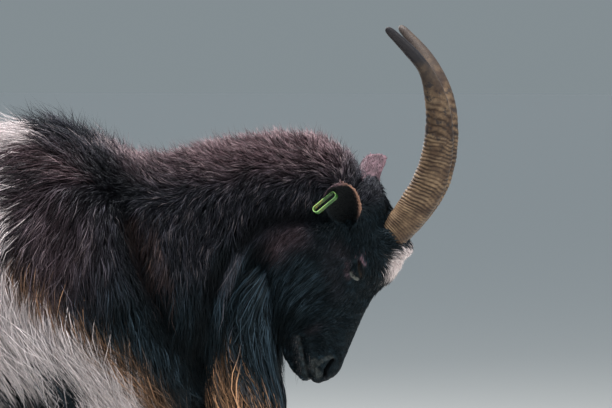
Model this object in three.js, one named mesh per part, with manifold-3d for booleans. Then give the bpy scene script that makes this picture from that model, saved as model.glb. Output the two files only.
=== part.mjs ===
// A life-size standing billy goat with a long pied coat, head tucked down and horns raised.
// Millimetres, +Z up, the goat facing +X with its left side on +Y. Outlines reach the coat's tips.
import * as THREE from "three";
import { mergeVertices } from "three/addons/utils/BufferGeometryUtils.js";
import Module from "manifold-3d";

const wasm = await Module();
wasm.setup();

// ---- driving sizes -------------------------------------------------------------------------
const GAP = 0.3; // clearance left between neighbouring pieces
const HOOF_TOP = 44; // height of the coronet
const KNEE_SPLIT = 240; // height that parts forearm and cannon
const HOCK_SPLIT = 300; // height that parts gaskin and hind cannon
const CLAW_SPREAD = 13.6; // from a foot's middle to the middle of each claw
const EYE_RADIUS = 13;
const EYE_AT = [502, 50, 579];
const EAR_LENGTH = 118;
const EAR_WIDTH = 57;
const EAR_THICKNESS = 4;
const TAG_GAUGE = 1.6;
const TAG_WIDTH = 8.5;
const FORE_FEET = { left: { x: 82, y: 76 }, right: { x: 122, y: -76 } };
const HIND_FEET = { left: { x: -442, y: 80 }, right: { x: -492, y: -80 } };

// ---- outlines as [x, z] seen from the side, and half widths across ---------------------------
const TRUNK = {
  top: [[-566, 690], [-524, 736], [-430, 762], [-300, 762], [-140, 760], [-20, 776], [75, 792],
    [160, 752], [222, 732], [262, 690]],
  low: [[-556, 585], [-530, 492], [-450, 424], [-310, 374], [-150, 346], [-10, 334], [110, 336],
    [206, 348], [262, 388], [284, 500]],
  half: [80, 112, 132, 148, 160, 157, 144, 128, 102, 70],
  caps: [0.1, 0.12],
  narrowTop: [0.1, 0.12, 0.16, 0.2, 0.24, 0.3, 0.36, 0.28, 0.2, 0.1],
};
const NECK = {
  top: [[60, 786], [130, 756], [205, 739], [275, 757], [345, 768], [411, 772], [468, 753],
    [508, 712]],
  low: [[186, 348], [240, 358], [284, 392], [310, 448], [336, 512], [366, 580], [424, 626],
    [468, 650]],
  half: [130, 126, 112, 95, 79, 68, 60, 50],
  caps: [0.1, 0.1],
  narrowTop: [0.3, 0.26, 0.2, 0.12, 0.04, -0.02, -0.04, 0],
};
const HEAD = {
  top: [[526, 712], [556, 668], [561, 613], [548, 575], [518, 548], [499, 512], [485, 483],
    [473.5, 456], [466, 438], [449, 423]],
  low: [[446, 688], [386, 658], [349, 616], [352, 566], [362, 526], [374, 498], [380, 480],
    [389, 455], [402, 434], [426, 421]],
  half: [46, 59, 67, 66, 56, 45, 37, 32, 30, 24],
  caps: [0.1, 0.05],
  narrowTop: [0, 0.02, 0.04, 0.06, 0.02, -0.02, -0.06, -0.08, -0.1, -0.08],
};
const BEARD = {
  top: [[404, 586], [388, 540], [378, 492], [380, 444], [388, 400], [387, 362], [374, 326]],
  low: [[342, 616], [306, 564], [284, 508], [278, 450], [281, 398], [302, 350], [348, 318]],
  half: [64, 71, 68, 61, 51, 38, 20],
  caps: [0.14, 0.16],
};
const HORN = {
  top: [[530, 587], [555, 615], [590, 654.5], [612, 692], [622.5, 738], [623.5, 777.5], [618, 812],
    [605.5, 844.5], [583, 879], [547, 914]],
  low: [[502, 615], [528, 644], [549, 673.5], [569, 706], [582.5, 743], [588, 781.5], [587, 815],
    [580.5, 849.5], [564, 875], [539, 907]],
  across: [22, 26, 31, 36, 43, 51, 60, 71, 86, 106],
  half: [18, 18.5, 18, 17, 15.5, 14, 12, 10, 8, 5],
  caps: [0.02, 0.03],
};
const TAIL = {
  top: [[-536, 742], [-566, 744], [-592, 724], [-607, 686], [-612, 644], [-606, 606]],
  low: [[-536, 704], [-560, 698], [-576, 680], [-586, 652], [-592, 622], [-598, 600]],
  half: [28, 33, 34, 31, 24, 12],
  caps: [0.1, 0.25],
};
const FORELEG = {
  top: [[46, 500], [44, 430], [36, 345], [27, 272], [29, 236], [31, 212], [23, 180], [17, 140],
    [18, 106], [22, 84], [26, 62], [31, 36]],
  low: [[-52, 500], [-54, 430], [-36, 345], [-26, 272], [-24, 236], [-25, 212], [-21, 180],
    [-18, 140], [-21, 106], [-26, 84], [-18, 62], [-16, 36]],
  half: [40, 40, 33, 26.5, 26.5, 26.5, 22, 18, 19, 22.5, 21, 24],
  lean: [-18, -10, -4, 0, 0, 0, 0, 0, 0, 0, 0, 0],
  caps: [0.08, 0.01],
};
const HINDLEG = {
  top: [[80, 690], [122, 610], [128, 530], [100, 444], [62, 370], [36, 312], [28, 276], [20, 236],
    [14, 180], [16, 108], [21, 84], [26, 62], [31, 36]],
  low: [[-60, 690], [-84, 610], [-80, 530], [-66, 444], [-52, 370], [-50, 312], [-42, 276],
    [-26, 236], [-20, 180], [-22, 108], [-27, 84], [-19, 62], [-16, 36]],
  half: [30, 54, 60, 52, 38, 27, 25, 22, 20, 20, 23, 21, 24],
  lean: [-20, 0, 6, 6, 3, 0, 0, 0, 0, 0, 0, 0, 0],
  caps: [0.08, 0.01],
};
const CLAW = {
  top: [[42, 0], [38, 13], [33, 29], [29, HOOF_TOP - GAP]],
  low: [[-22, 0], [-22, 10], [-19, 26], [-15, HOOF_TOP - GAP]],
  half: [12.6, 12.8, 12, 11],
};

// ---- materials -----------------------------------------------------------------------------
function coat(name, hex) {
  return new THREE.MeshStandardMaterial({ name, color: hex, roughness: 0.85, metalness: 0 });
}
const BLACK_COAT = coat("black_coat", 0x24201f);
const BEARD_COAT = coat("beard_coat", 0x1c1e22);
const WHITE_COAT = coat("white_coat", 0xc9bfb2);
const EAR_SKIN = coat("ear_skin", 0x6b4f48);
const HORN_COVER = new THREE.MeshStandardMaterial({ name: "horn", color: 0x6f5a43, roughness: 0.55 });
const HOOF_HORN = new THREE.MeshStandardMaterial({ name: "hoof", color: 0x2c2622, roughness: 0.6 });
const NOSE_SKIN = new THREE.MeshStandardMaterial({ name: "nose", color: 0x15171a, roughness: 0.5 });
const EYE_GLASS = new THREE.MeshStandardMaterial({ name: "eye", color: 0x2a1c10, roughness: 0.12 });
const TAG_PLASTIC = new THREE.MeshStandardMaterial({ name: "tag", color: 0x7fc04a, roughness: 0.45 });

// ---- shaping -------------------------------------------------------------------------------
// The value, or the point, at t of the way along a short list of stations, passing through each.
function along(list, t) {
  const n = list.length - 1;
  const i = Math.min(Math.floor(t * n), n - 1);
  const pick = (k) => list[Math.max(0, Math.min(n, k))];
  const f = t * n - i;
  const mix = (a, b, c, d) => {
    const slope0 = (c - a) / 2;
    const slope1 = (d - b) / 2;
    return b + f * (slope0 + f * (3 * (c - b) - 2 * slope0 - slope1 + f * (2 * (b - c) + slope0 + slope1)));
  };
  const [a, b, c, d] = [pick(i - 1), pick(i), pick(i + 1), pick(i + 2)];
  return Array.isArray(b) ? b.map((_, k) => mix(a[k], b[k], c[k], d[k])) : mix(a, b, c, d);
}

// How far a rounded end has opened: 0 at the very end, 1 once past the cap.
function capOpening(t, [start, end]) {
  const into = Math.min(start > 0 ? t / start : 1, end > 0 ? (1 - t) / end : 1, 1);
  return Math.sqrt(Math.max(0, 1 - (1 - into) ** 2));
}

// The solid of a closed three.js surface, turned to face outwards.
function solidFrom(geometry) {
  const g = geometry.clone();
  g.deleteAttribute("normal");
  g.deleteAttribute("uv");
  const merged = mergeVertices(g, 1e-3);
  const triVerts = new Uint32Array(merged.index.array);
  const p = merged.attributes.position;
  let volume = 0;
  const [a, b, c] = [new THREE.Vector3(), new THREE.Vector3(), new THREE.Vector3()];
  for (let i = 0; i < triVerts.length; i += 3) {
    a.fromBufferAttribute(p, triVerts[i]);
    b.fromBufferAttribute(p, triVerts[i + 1]);
    c.fromBufferAttribute(p, triVerts[i + 2]);
    volume += a.dot(b.cross(c));
  }
  if (volume < 0) {
    for (let i = 0; i < triVerts.length; i += 3) {
      [triVerts[i + 1], triVerts[i + 2]] = [triVerts[i + 2], triVerts[i + 1]];
    }
  }
  return new wasm.Manifold(new wasm.Mesh({ numProp: 3, vertProperties: p.array, triVerts }));
}

// Moves every vertex of a unit sphere (round ends) or cylinder (flat ends) to place(t, turn, radius).
function moulded({ rings, sides, flat = false }, place) {
  const g = flat
    ? new THREE.CylinderGeometry(1, 1, 2, sides, rings)
    : new THREE.SphereGeometry(1, sides, rings);
  const p = g.attributes.position;
  for (let i = 0; i < p.count; i++) {
    const y = Math.max(-1, Math.min(1, p.getY(i)));
    const t = flat ? (1 - y) / 2 : Math.acos(y) / Math.PI;
    const turn = Math.atan2(p.getZ(i), p.getX(i));
    const radius = flat ? Math.min(1, Math.hypot(p.getX(i), p.getZ(i))) : 1;
    p.setXYZ(i, ...place(t, turn, radius));
  }
  return solidFrom(g);
}

// A body between two side outlines, with its half width across; `grow` swells it all round.
// Options: offset [x, y], swells [{at, reach, rise}], folds (waves of hanging coat) and squareness.
function body(form, detail, { offset = [0, 0], side = 1, grow = 0, swells = [], folds, square = 2.2 } = {}) {
  const caps = detail.flat ? [0, 0] : form.caps;
  return moulded(detail, (t, turn, radius) => {
    const [tx, tz] = along(form.top, t);
    const [bx, bz] = along(form.low, t);
    const open = capOpening(t, caps) * radius;
    const depth = Math.hypot(tx - bx, tz - bz) / 2;
    const [ux, uz] = [(tx - bx) / (2 * depth), (tz - bz) / (2 * depth)];
    const c = Math.sign(Math.cos(turn)) * Math.abs(Math.cos(turn)) ** (2 / square);
    const s = Math.sign(Math.sin(turn)) * Math.abs(Math.sin(turn)) ** (2 / square);
    const taper = form.narrowTop ? 1 - along(form.narrowTop, t) * Math.cos(turn) : 1;
    const wave = folds ? folds.rise * Math.sin(t * folds.count * Math.PI * 2 + folds.skew * turn * turn) : 0;
    const low = (1 - Math.cos(turn)) / 2;
    const d = (depth + grow + wave * low * low) * open * c;
    const w = (along(form.half, t) * taper + grow + wave * low) * open * s;
    const spread = form.across ? along(form.across, t) : 0;
    const lean = form.lean ? along(form.lean, t) : 0;
    const at = new THREE.Vector3(
      (tx + bx) / 2 + ux * d + offset[0],
      w + side * (spread + lean) + offset[1],
      (tz + bz) / 2 + uz * d,
    );
    const out = new THREE.Vector3(ux * c, s, uz * c).normalize();
    for (const swell of swells) {
      const near = at.distanceToSquared(new THREE.Vector3(...swell.at)) / swell.reach ** 2;
      at.addScaledVector(out, swell.rise * Math.exp(-near) * open);
    }
    return at.toArray();
  });
}

// A swell on both sides of the animal.
function paired(at, reach, rise) {
  return [1, -1].map((side) => ({ at: [at[0], side * at[1], at[2]], reach, rise }));
}

// The half of space in front of an upright sheet through two [x, z] points, as a large block.
function inFrontOf([x0, z0], [x1, z1], shift) {
  const size = 4000;
  const block = new THREE.BoxGeometry(size, size, size);
  const angle = Math.atan2(x1 - x0, z1 - z0);
  block.translate(size / 2, 0, 0);
  block.rotateY(angle);
  block.translate(x0 + shift * Math.cos(angle), 0, z0 - shift * Math.sin(angle));
  return solidFrom(block);
}

// ---- flesh and coat ------------------------------------------------------------------------
const TRUNK_SWELLS = [
  ...paired([90, 140, 520], 110, 10), // shoulder
  ...paired([-430, 95, 735], 55, 9), // hip
  ...paired([-345, 140, 600], 80, -10), // hollow of the flank
];
const HEAD_SWELLS = [
  ...paired([513, 60, 603], 24, 6), // brow
  ...paired([398, 64, 600], 44, 8), // cheek
  ...paired([500, 66, 577], 13, -5), // eye hollow
  ...paired([508, 42, 522], 28, -4), // below the eye
  ...paired([450, 34, 436], 18, 3), // wings of the nose
];

function trunkAndNeck(grow) {
  const folds = { rise: 4, count: 9, skew: 0.5 };
  const trunk = body(TRUNK, { rings: 26, sides: 22 }, { swells: TRUNK_SWELLS, folds, grow });
  const neck = body(NECK, { rings: 17, sides: 20 }, { folds: { rise: 3, count: 4, skew: 0.6 }, grow });
  return trunk.add(neck);
}

function headForm(grow) {
  return body(HEAD, { rings: 22, sides: 20 }, { grow, swells: HEAD_SWELLS, square: 2.3 });
}

function legForm(form, foot, side, grow) {
  const detail = { rings: form === FORELEG ? 19 : 21, sides: 10 };
  return body(form, detail, { offset: [foot.x, foot.y], side, grow });
}

function clawForm(foot, inner) {
  const offset = [foot.x, foot.y + inner * CLAW_SPREAD];
  return body(CLAW, { rings: 3, sides: 10, flat: true }, { offset, square: 2.6 });
}

// A dewclaw: a blunt cone behind the fetlock.
function dewclawForm(foot, inner, grow) {
  const g = new THREE.ConeGeometry(8 + grow, 22 + grow * 2, 8, 1);
  g.rotateX(Math.PI);
  g.rotateY(-0.5);
  g.translate(foot.x - 27, foot.y + inner * 12, 74);
  return solidFrom(g);
}

function eyeForm(side, grow) {
  const g = new THREE.SphereGeometry(EYE_RADIUS + grow, 11, 7);
  g.translate(EYE_AT[0], side * EYE_AT[1], EYE_AT[2]);
  return solidFrom(g);
}

// An ear: a leaf rolled into a tube at its root and opening out towards the tip.
function earForm(root, direction, opening) {
  const lengthwise = new THREE.Vector3(...direction).normalize();
  const across = new THREE.Vector3().crossVectors(lengthwise, new THREE.Vector3(...opening)).normalize();
  const out = new THREE.Vector3().crossVectors(across, lengthwise).normalize();
  const half = [0.32, 0.62, 0.88, 1, 0.98, 0.88, 0.68].map((f) => (f * EAR_WIDTH) / 2);
  const roll = [2.4, 2.0, 1.5, 1.15, 0.9, 0.7, 0.6];
  return moulded({ rings: 11, sides: 14 }, (t, turn) => {
    const open = capOpening(t, [0.08, 0.14]);
    const w = along(half, t) * open * Math.cos(turn);
    const bend = along(roll, t);
    const radius = (along(half, t) + 1) / bend;
    const angle = (w / along(half, t)) * bend;
    const skin = (EAR_THICKNESS / 2) * Math.sin(turn) * Math.sqrt(open);
    return new THREE.Vector3(...root)
      .addScaledVector(lengthwise, EAR_LENGTH * t)
      .addScaledVector(across, (radius + skin) * Math.sin(angle))
      .addScaledVector(out, radius - (radius + skin) * Math.cos(angle))
      .toArray();
  });
}

// ---- what it wears -------------------------------------------------------------------------
// A narrow plastic strap bent into a loop, hanging from the ear's edge.
function tagForm(grow) {
  const [long, wide] = [30, 14];
  const outer = new THREE.Shape();
  outer.absarc(0, 0, wide / 2 + grow, Math.PI / 2, -Math.PI / 2, true);
  outer.absarc(-long, 0, wide / 2 + grow, -Math.PI / 2, Math.PI / 2, true);
  const inner = new THREE.Path();
  inner.absarc(0, 0, wide / 2 - TAG_GAUGE - grow, -Math.PI / 2, Math.PI / 2, false);
  inner.absarc(-long, 0, wide / 2 - TAG_GAUGE - grow, Math.PI / 2, -Math.PI / 2, false);
  outer.holes.push(inner);
  const depth = TAG_WIDTH + 2 * grow;
  const g = new THREE.ExtrudeGeometry(outer, { depth, bevelEnabled: false, curveSegments: 5 });
  g.translate(0, 0, -depth / 2);
  g.rotateX(Math.PI / 2 - 0.5);
  g.rotateY(-0.7);
  g.translate(469, -136, 686);
  return solidFrom(g);
}

// ---- putting the animal together -------------------------------------------------------------
const goat = new THREE.Group();
goat.name = "billy_goat";

function addPiece(name, solid, material) {
  const { vertProperties, triVerts, numProp } = solid.getMesh();
  const points = new Float32Array((vertProperties.length / numProp) * 3);
  for (let i = 0; i < points.length / 3; i++) {
    points.set(vertProperties.subarray(i * numProp, i * numProp + 3), i * 3);
  }
  const g = new THREE.BufferGeometry();
  g.setAttribute("position", new THREE.BufferAttribute(points, 3));
  g.setIndex(new THREE.BufferAttribute(new Uint32Array(triVerts), 1));
  g.computeVertexNormals();
  const mesh = new THREE.Mesh(g, material);
  mesh.name = name;
  goat.add(mesh);
}

// Parts a solid along sheets seen from the side: the piece in front of them all, and the rest.
function parted(solid, cuts) {
  const region = (shift) => cuts
    .map((cut) => inFrontOf(...cut, shift))
    .reduce((a, b) => a.intersect(b));
  return [solid.intersect(region(GAP / 2)), solid.subtract(region(-GAP / 2))];
}

const SHOULDER_CUT = [[236, 340], [150, 770]];
const MOUTH_CUT = [[418, 494], [424, 400]];
const JAW_END_CUT = [[357, 470], [437, 508]];
const NOSE_CUTS = [[[440, 405], [463, 470]], [[400, 450], [500, 466]]];
const EARS = {
  left: { root: [474, 50, 646], direction: [0.23, 0.62, 0.74], opening: [0.66, 0.47, -0.59] },
  right: { root: [484, -50, 647], direction: [-0.06, -0.86, 0.5], opening: [0.15, -0.48, -0.86] },
};

function addFoot(prefix, foot) {
  for (const [place, inner] of [["inner", -Math.sign(foot.y)], ["outer", Math.sign(foot.y)]]) {
    addPiece(`${prefix}_hoof_${place}`, clawForm(foot, inner), HOOF_HORN);
    addPiece(`${prefix}_dewclaw_${place}`, dewclawForm(foot, inner, 0), HOOF_HORN);
  }
}

function addLeg(prefix, form, foot, side, split) {
  const whole = legForm(form, foot, side, 0);
  const pared = [-1, 1].reduce((leg, inner) => leg.subtract(dewclawForm(foot, inner, GAP)), whole);
  const upper = pared.trimByPlane([0, 0, 1], split + GAP / 2);
  const lower = pared.trimByPlane([0, 0, -1], GAP / 2 - split).trimByPlane([0, 0, 1], HOOF_TOP);
  addPiece(`${prefix}_upper`, upper, WHITE_COAT);
  addPiece(`${prefix}_lower`, lower, WHITE_COAT);
  addFoot(prefix, foot);
}

function addHead(headGrown, flesh) {
  let head = headForm(0);
  for (const side of [1, -1]) {
    const name = side > 0 ? "left" : "right";
    head = head.subtract(eyeForm(side, GAP));
    addPiece(`eye_${name}`, eyeForm(side, 0), EYE_GLASS);
    const horn = body(HORN, { rings: 24, sides: 10 }, { side });
    addPiece(`horn_${name}`, horn.subtract(headGrown), HORN_COVER);
    const { root, direction, opening } = EARS[name];
    const ear = earForm(root, direction, opening).subtract(headGrown).subtract(flesh);
    addPiece(`ear_${name}`, name === "right" ? ear.subtract(tagForm(GAP)) : ear, EAR_SKIN);
  }
  const [jaw, upperHead] = parted(head, [MOUTH_CUT, JAW_END_CUT]);
  const [nose, rest] = parted(upperHead, NOSE_CUTS);
  addPiece("head", rest, BLACK_COAT);
  addPiece("lower_jaw", jaw, BLACK_COAT);
  addPiece("nose", nose, NOSE_SKIN);
}

function addGoat() {
  const headGrown = headForm(GAP);
  const flesh = trunkAndNeck(GAP);
  let [neck, trunk] = parted(trunkAndNeck(0), [SHOULDER_CUT]);
  neck = neck.subtract(headGrown);
  addHead(headGrown, flesh);
  for (const side of [1, -1]) {
    const name = side > 0 ? "left" : "right";
    addLeg(`foreleg_${name}`, FORELEG, FORE_FEET[name], side, KNEE_SPLIT);
    addLeg(`hindleg_${name}`, HINDLEG, HIND_FEET[name], side, HOCK_SPLIT);
    trunk = trunk.subtract(legForm(FORELEG, FORE_FEET[name], side, GAP));
    trunk = trunk.subtract(legForm(HINDLEG, HIND_FEET[name], side, GAP));
  }
  addPiece("trunk", trunk, WHITE_COAT);
  addPiece("neck", neck, BLACK_COAT);
  const beard = body(BEARD, { rings: 13, sides: 12 }).subtract(headGrown).subtract(flesh);
  addPiece("beard", beard, BEARD_COAT);
  addPiece("tail", body(TAIL, { rings: 10, sides: 10 }).subtract(flesh), WHITE_COAT);
  addPiece("ear_tag", tagForm(0), TAG_PLASTIC);
}

addGoat();
goat.updateMatrixWorld(true);
const box = new THREE.Box3().setFromObject(goat);
goat.position.set(-(box.min.x + box.max.x) / 2, -(box.min.y + box.max.y) / 2, -box.min.z);

export default goat;
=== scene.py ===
import math

import bmesh
import bpy
import numpy as np
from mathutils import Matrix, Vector
from mathutils.bvhtree import BVHTree
from mathutils.kdtree import KDTree


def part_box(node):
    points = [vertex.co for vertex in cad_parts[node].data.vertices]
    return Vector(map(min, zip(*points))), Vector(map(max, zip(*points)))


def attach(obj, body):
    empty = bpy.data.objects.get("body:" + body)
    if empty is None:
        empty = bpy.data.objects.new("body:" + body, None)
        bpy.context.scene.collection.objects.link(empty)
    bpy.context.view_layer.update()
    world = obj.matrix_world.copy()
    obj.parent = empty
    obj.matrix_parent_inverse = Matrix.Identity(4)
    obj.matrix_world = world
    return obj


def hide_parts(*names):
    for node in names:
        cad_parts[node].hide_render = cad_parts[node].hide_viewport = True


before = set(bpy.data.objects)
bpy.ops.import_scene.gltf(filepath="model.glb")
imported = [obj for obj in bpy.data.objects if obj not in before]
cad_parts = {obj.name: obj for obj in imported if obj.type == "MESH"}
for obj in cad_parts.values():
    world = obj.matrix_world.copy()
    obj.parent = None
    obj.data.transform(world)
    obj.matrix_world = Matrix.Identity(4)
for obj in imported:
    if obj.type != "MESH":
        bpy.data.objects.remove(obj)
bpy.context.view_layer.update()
RNG = np.random.default_rng(41)

# The goat stands facing +X. Sizes below are in millimetres on the maker's plan of the animal, with
# Y its left side. SHIFT moves that plan to the row frame, and is read from where the left eye is.
EYE_PLAN = (502.0, 50.0, 579.0)
EYE_RADIUS = 12.6
eye_low, eye_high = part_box("eye_left")
SHIFT = np.array([(eye_low[i] + eye_high[i]) * 500 - EYE_PLAN[i] for i in range(3)])

FLESH = ["trunk", "neck", "head", "lower_jaw", "nose", "tail"] + [
    f"{leg}_{side}_{part}" for leg in ("foreleg", "hindleg") for side in ("left", "right")
    for part in ("upper", "lower")]

# How the coat lies, on the side view of the plan. Each row: x, z, the way the hair points (x, z), its
# length, the depth of the coat over the skin, how far it stands off (0 flat, 1 upright), how much it
# hangs.
COAT = np.array([
    # back and flanks
    (-560, 680, -0.7, -0.7, 70, 20, 0.30, 0.5), (-450, 745, -0.9, -0.3, 60, 20, 0.35, 0.2),
    (-300, 750, -0.95, -0.2, 60, 20, 0.35, 0.2), (-140, 750, -0.95, -0.1, 60, 22, 0.40, 0.2),
    (-300, 600, -0.5, -0.85, 80, 26, 0.25, 0.6), (-120, 600, -0.4, -0.9, 85, 26, 0.25, 0.6),
    (-300, 430, -0.2, -1.0, 95, 42, 0.25, 0.9), (-120, 420, -0.1, -1.0, 100, 48, 0.25, 0.9),
    (-150, 350, 0.0, -1.0, 70, 40, 0.25, 1.0), (-530, 560, -0.4, -0.9, 75, 20, 0.25, 0.7),
    # withers and shoulder
    (-20, 765, -0.85, 0.15, 60, 24, 0.60, 0.1), (75, 785, -0.75, 0.35, 62, 26, 0.75, 0.0),
    (140, 745, -0.45, 0.55, 50, 24, 0.85, 0.0), (30, 700, -0.95, -0.2, 60, 26, 0.35, 0.2),
    (20, 640, -0.75, -0.65, 60, 26, 0.30, 0.4), (100, 640, -0.4, -0.9, 58, 26, 0.30, 0.4),
    (60, 560, -0.15, -1.0, 66, 28, 0.28, 0.6), (170, 560, 0.05, -1.0, 60, 28, 0.30, 0.5),
    (10, 480, 0.75, -0.6, 95, 34, 0.32, 0.25), (90, 440, 0.70, -0.7, 95, 36, 0.32, 0.30),
    (-50, 440, 0.85, -0.5, 95, 36, 0.32, 0.25), (140, 420, 0.75, -0.65, 90, 36, 0.32, 0.30),
    (170, 470, 0.45, -0.9, 80, 34, 0.30, 0.4), (60, 360, 0.2, -1.0, 70, 34, 0.25, 1.0),
    (200, 400, 0.7, -0.7, 90, 38, 0.35, 0.4), (260, 400, 0.75, -0.6, 90, 36, 0.35, 0.5),
    (30, 560, 0.15, -1.0, 80, 30, 0.28, 0.4), (30, 522, 0.5, -0.85, 85, 32, 0.32, 0.25),
    (70, 485, 0.75, -0.65, 95, 34, 0.32, 0.2), (120, 452, 0.78, -0.62, 95, 36, 0.32, 0.2),
    # neck
    (215, 725, -0.3, 0.4, 34, 22, 0.85, 0.0), (300, 750, -0.12, 0.6, 32, 22, 0.92, 0.0),
    (380, 765, -0.10, 0.7, 32, 22, 0.95, 0.0), (440, 755, -0.10, 0.8, 32, 20, 0.95, 0.0),
    (490, 725, -0.1, 0.9, 28, 16, 0.85, 0.0), (350, 702, -0.4, -0.72, 29, 20, 0.55, 0.1),
    (240, 708, -0.9, 0.0, 33, 22, 0.72, 0.0), (300, 727, -0.85, 0.12, 31, 22, 0.74, 0.0),
    (360, 736, -0.82, 0.12, 30, 21, 0.74, 0.0), (415, 732, -0.75, 0.12, 28, 19, 0.72, 0.0),
    (455, 718, -0.65, 0.1, 26, 16, 0.66, 0.0),
    (430, 695, -0.3, -0.6, 25, 14, 0.55, 0.1), (280, 660, -0.22, -0.95, 34, 22, 0.46, 0.2),
    (345, 668, -0.28, -0.92, 27, 20, 0.46, 0.2), (215, 620, -0.05, -1.0, 42, 24, 0.36, 0.3),
    (250, 540, 0.1, -1.0, 52, 24, 0.34, 0.5), (282, 600, -0.2, -0.97, 32, 22, 0.34, 0.4),
    (338, 604, -0.45, -0.9, 85, 14, 0.30, 0.6), (318, 566, -0.28, -0.96, 90, 18, 0.30, 0.8),
    (300, 520, -0.1, -1.0, 90, 20, 0.30, 0.9), (262, 500, 0.05, -1.0, 50, 24, 0.30, 0.7),
    # head
    (500, 712, 0.25, 0.85, 26, 14, 0.80, 0.0), (512, 690, 0.3, 0.8, 15, 8, 0.60, 0.0),
    (536, 694, 0.75, -0.55, 12, 3, 0.25, 0.0), (548, 676, 0.75, -0.4, 12, 4, 0.30, 0.0),
    (524, 655, 0.2, -0.5, 8, 2.5, 0.22, 0.0), (532, 628, 0.75, 0.6, 13, 5, 0.40, 0.0),
    (545, 612, 0.75, 0.25, 16, 6, 0.48, 0.0), (552, 606, 0.7, -0.65, 15, 5.5, 0.42, 0.1),
    (558, 594, 0.7, -0.6, 18, 5.5, 0.46, 0.0),
    (544, 575, 0.6, -0.8, 20, 6.5, 0.56, 0.1), (528, 560, 0.4, -0.9, 12, 4, 0.40, 0.1),
    (515, 625, -0.2, -0.9, 9, 3, 0.25, 0.0), (480, 640, -0.3, -0.8, 12, 5, 0.25, 0.0),
    (440, 636, -0.6, -0.7, 14, 6, 0.28, 0.0), (400, 630, -0.55, -0.75, 17, 8, 0.34, 0.1),
    (372, 612, -0.55, -0.8, 20, 9, 0.36, 0.2), (460, 590, -0.7, -0.6, 9, 3.2, 0.20, 0.0),
    (410, 595, -0.7, -0.65, 20, 6, 0.30, 0.2), (380, 580, -0.65, -0.75, 45, 7, 0.30, 0.5),
    (430, 562, -0.85, -0.5, 58, 4.5, 0.26, 0.4), (402, 548, -0.76, -0.65, 80, 7, 0.30, 0.7),
    (368, 550, -0.6, -0.8, 80, 9, 0.32, 0.8), (502, 560, -0.5, -0.8, 7, 2.4, 0.18, 0.0),
    (500, 520, -0.7, 0.3, 6, 2.0, 0.18, 0.0), (450, 540, -0.9, -0.3, 12, 2.8, 0.20, 0.1),
    (385, 520, -0.6, -0.8, 80, 7, 0.32, 0.85), (420, 525, -0.85, -0.5, 36, 3.5, 0.24, 0.5),
    (480, 480, -0.6, 0.6, 5, 1.5, 0.18, 0.0), (430, 490, -0.8, 0.2, 7, 1.8, 0.20, 0.0),
    (395, 480, -0.5, -0.5, 12, 2.4, 0.25, 0.3), (450, 440, -0.4, 0.8, 4, 1.0, 0.20, 0.0),
    (415, 445, -0.4, 0.6, 5, 1.4, 0.25, 0.1),
    # thighs, legs and tail
    (-440, 560, -0.3, -0.95, 75, 16, 0.25, 0.7), (-460, 440, -0.3, -0.95, 60, 12, 0.25, 0.7),
    (-455, 350, -0.3, -0.95, 28, 6, 0.25, 0.3), (-480, 290, -0.3, -0.95, 16, 4, 0.25, 0.1),
    (-470, 180, -0.2, -0.98, 12, 2.4, 0.20, 0.0), (-465, 60, -0.3, -0.95, 17, 2.0, 0.30, 0.0),
    (100, 400, -0.3, -0.95, 60, 16, 0.25, 0.7), (100, 320, -0.3, -0.95, 34, 7, 0.25, 0.4),
    (102, 220, -0.2, -0.98, 14, 3, 0.20, 0.0), (102, 130, -0.2, -0.98, 12, 2.4, 0.20, 0.0),
    (105, 55, -0.3, -0.95, 17, 2.0, 0.30, 0.0), (-600, 690, -0.4, -0.9, 70, 12, 0.4, 0.4),
    (-600, 620, 0.0, -1.0, 60, 10, 0.3, 0.6),
], dtype=float)


def to_plan(v):
    """Row frame in metres to the plan in millimetres."""
    return np.asarray(v, dtype=float) * 1000 - SHIFT


def to_row(p):
    """The plan in millimetres to the row frame in metres."""
    return (np.asarray(p, dtype=float) + SHIFT) / 1000


def plan_box(node):
    """The lowest and highest corner of a solid on the plan."""
    return (np.array(v) * 1000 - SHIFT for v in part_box(node))


def unit(v):
    """Each row of v at length 1."""
    return v / (np.linalg.norm(v, axis=1, keepdims=True) + 1e-9)


def coat_at(p):
    """The coat's rows, blended by distance in the side view, for plan points p (n, 3)."""
    softness, falloff = 120.0, 1.7
    out = np.zeros((len(p), 6))
    total = np.zeros(len(p))
    for row in COAT:
        apart = (p[:, 0] - row[0]) ** 2 + (p[:, 2] - row[1]) ** 2
        weight = 1 / (apart + softness) ** falloff
        out += weight[:, None] * row[2:]
        total += weight
    return out / total[:, None]


def smooth_step(lo, hi, x):
    """From 0 at lo to 1 at hi, with soft ends; lo may be the greater."""
    t = np.clip((x - lo) / (hi - lo), 0, 1)
    return t * t * (3 - 2 * t)


def wobble(p, size, seed=0.0):
    """Soft irregular waves from -1 to 1, the same every time."""
    x, y, z = (p[:, i] / size for i in range(3))
    return (np.sin(1.7 * x + 2.3 * z + seed) * np.cos(1.3 * z - 1.9 * y + 1.3 * seed)
            + 0.5 * np.sin(3.9 * z - 3.1 * x + 2.1 * y + seed * 2)
            + 0.3 * np.sin(7.7 * x + 6.1 * y - 5.3 * z + seed)) / 1.8


# ---- markings ---------------------------------------------------------------------------------
# Each marking is a line of x and z on the side view, how wide it is, and how strong.
# Pink-brown hair round the eyes.
EYE_PATCHES = [
    # Pink skin of the upper lid, with a painted highlight on it.
    ([(501, 598), (504, 590)], 2.5, 0.9),
    ([(481, 590), (480, 582), (482, 573)], 3.6, 0.30),
    ([(462, 610), (474, 600)], 10.0, 0.10),
    ([(456, 598), (460, 570), (462, 548)], 13.0, 0.05),
    ([(424, 497), (436, 500)], 5.0, 0.10),
]
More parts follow.
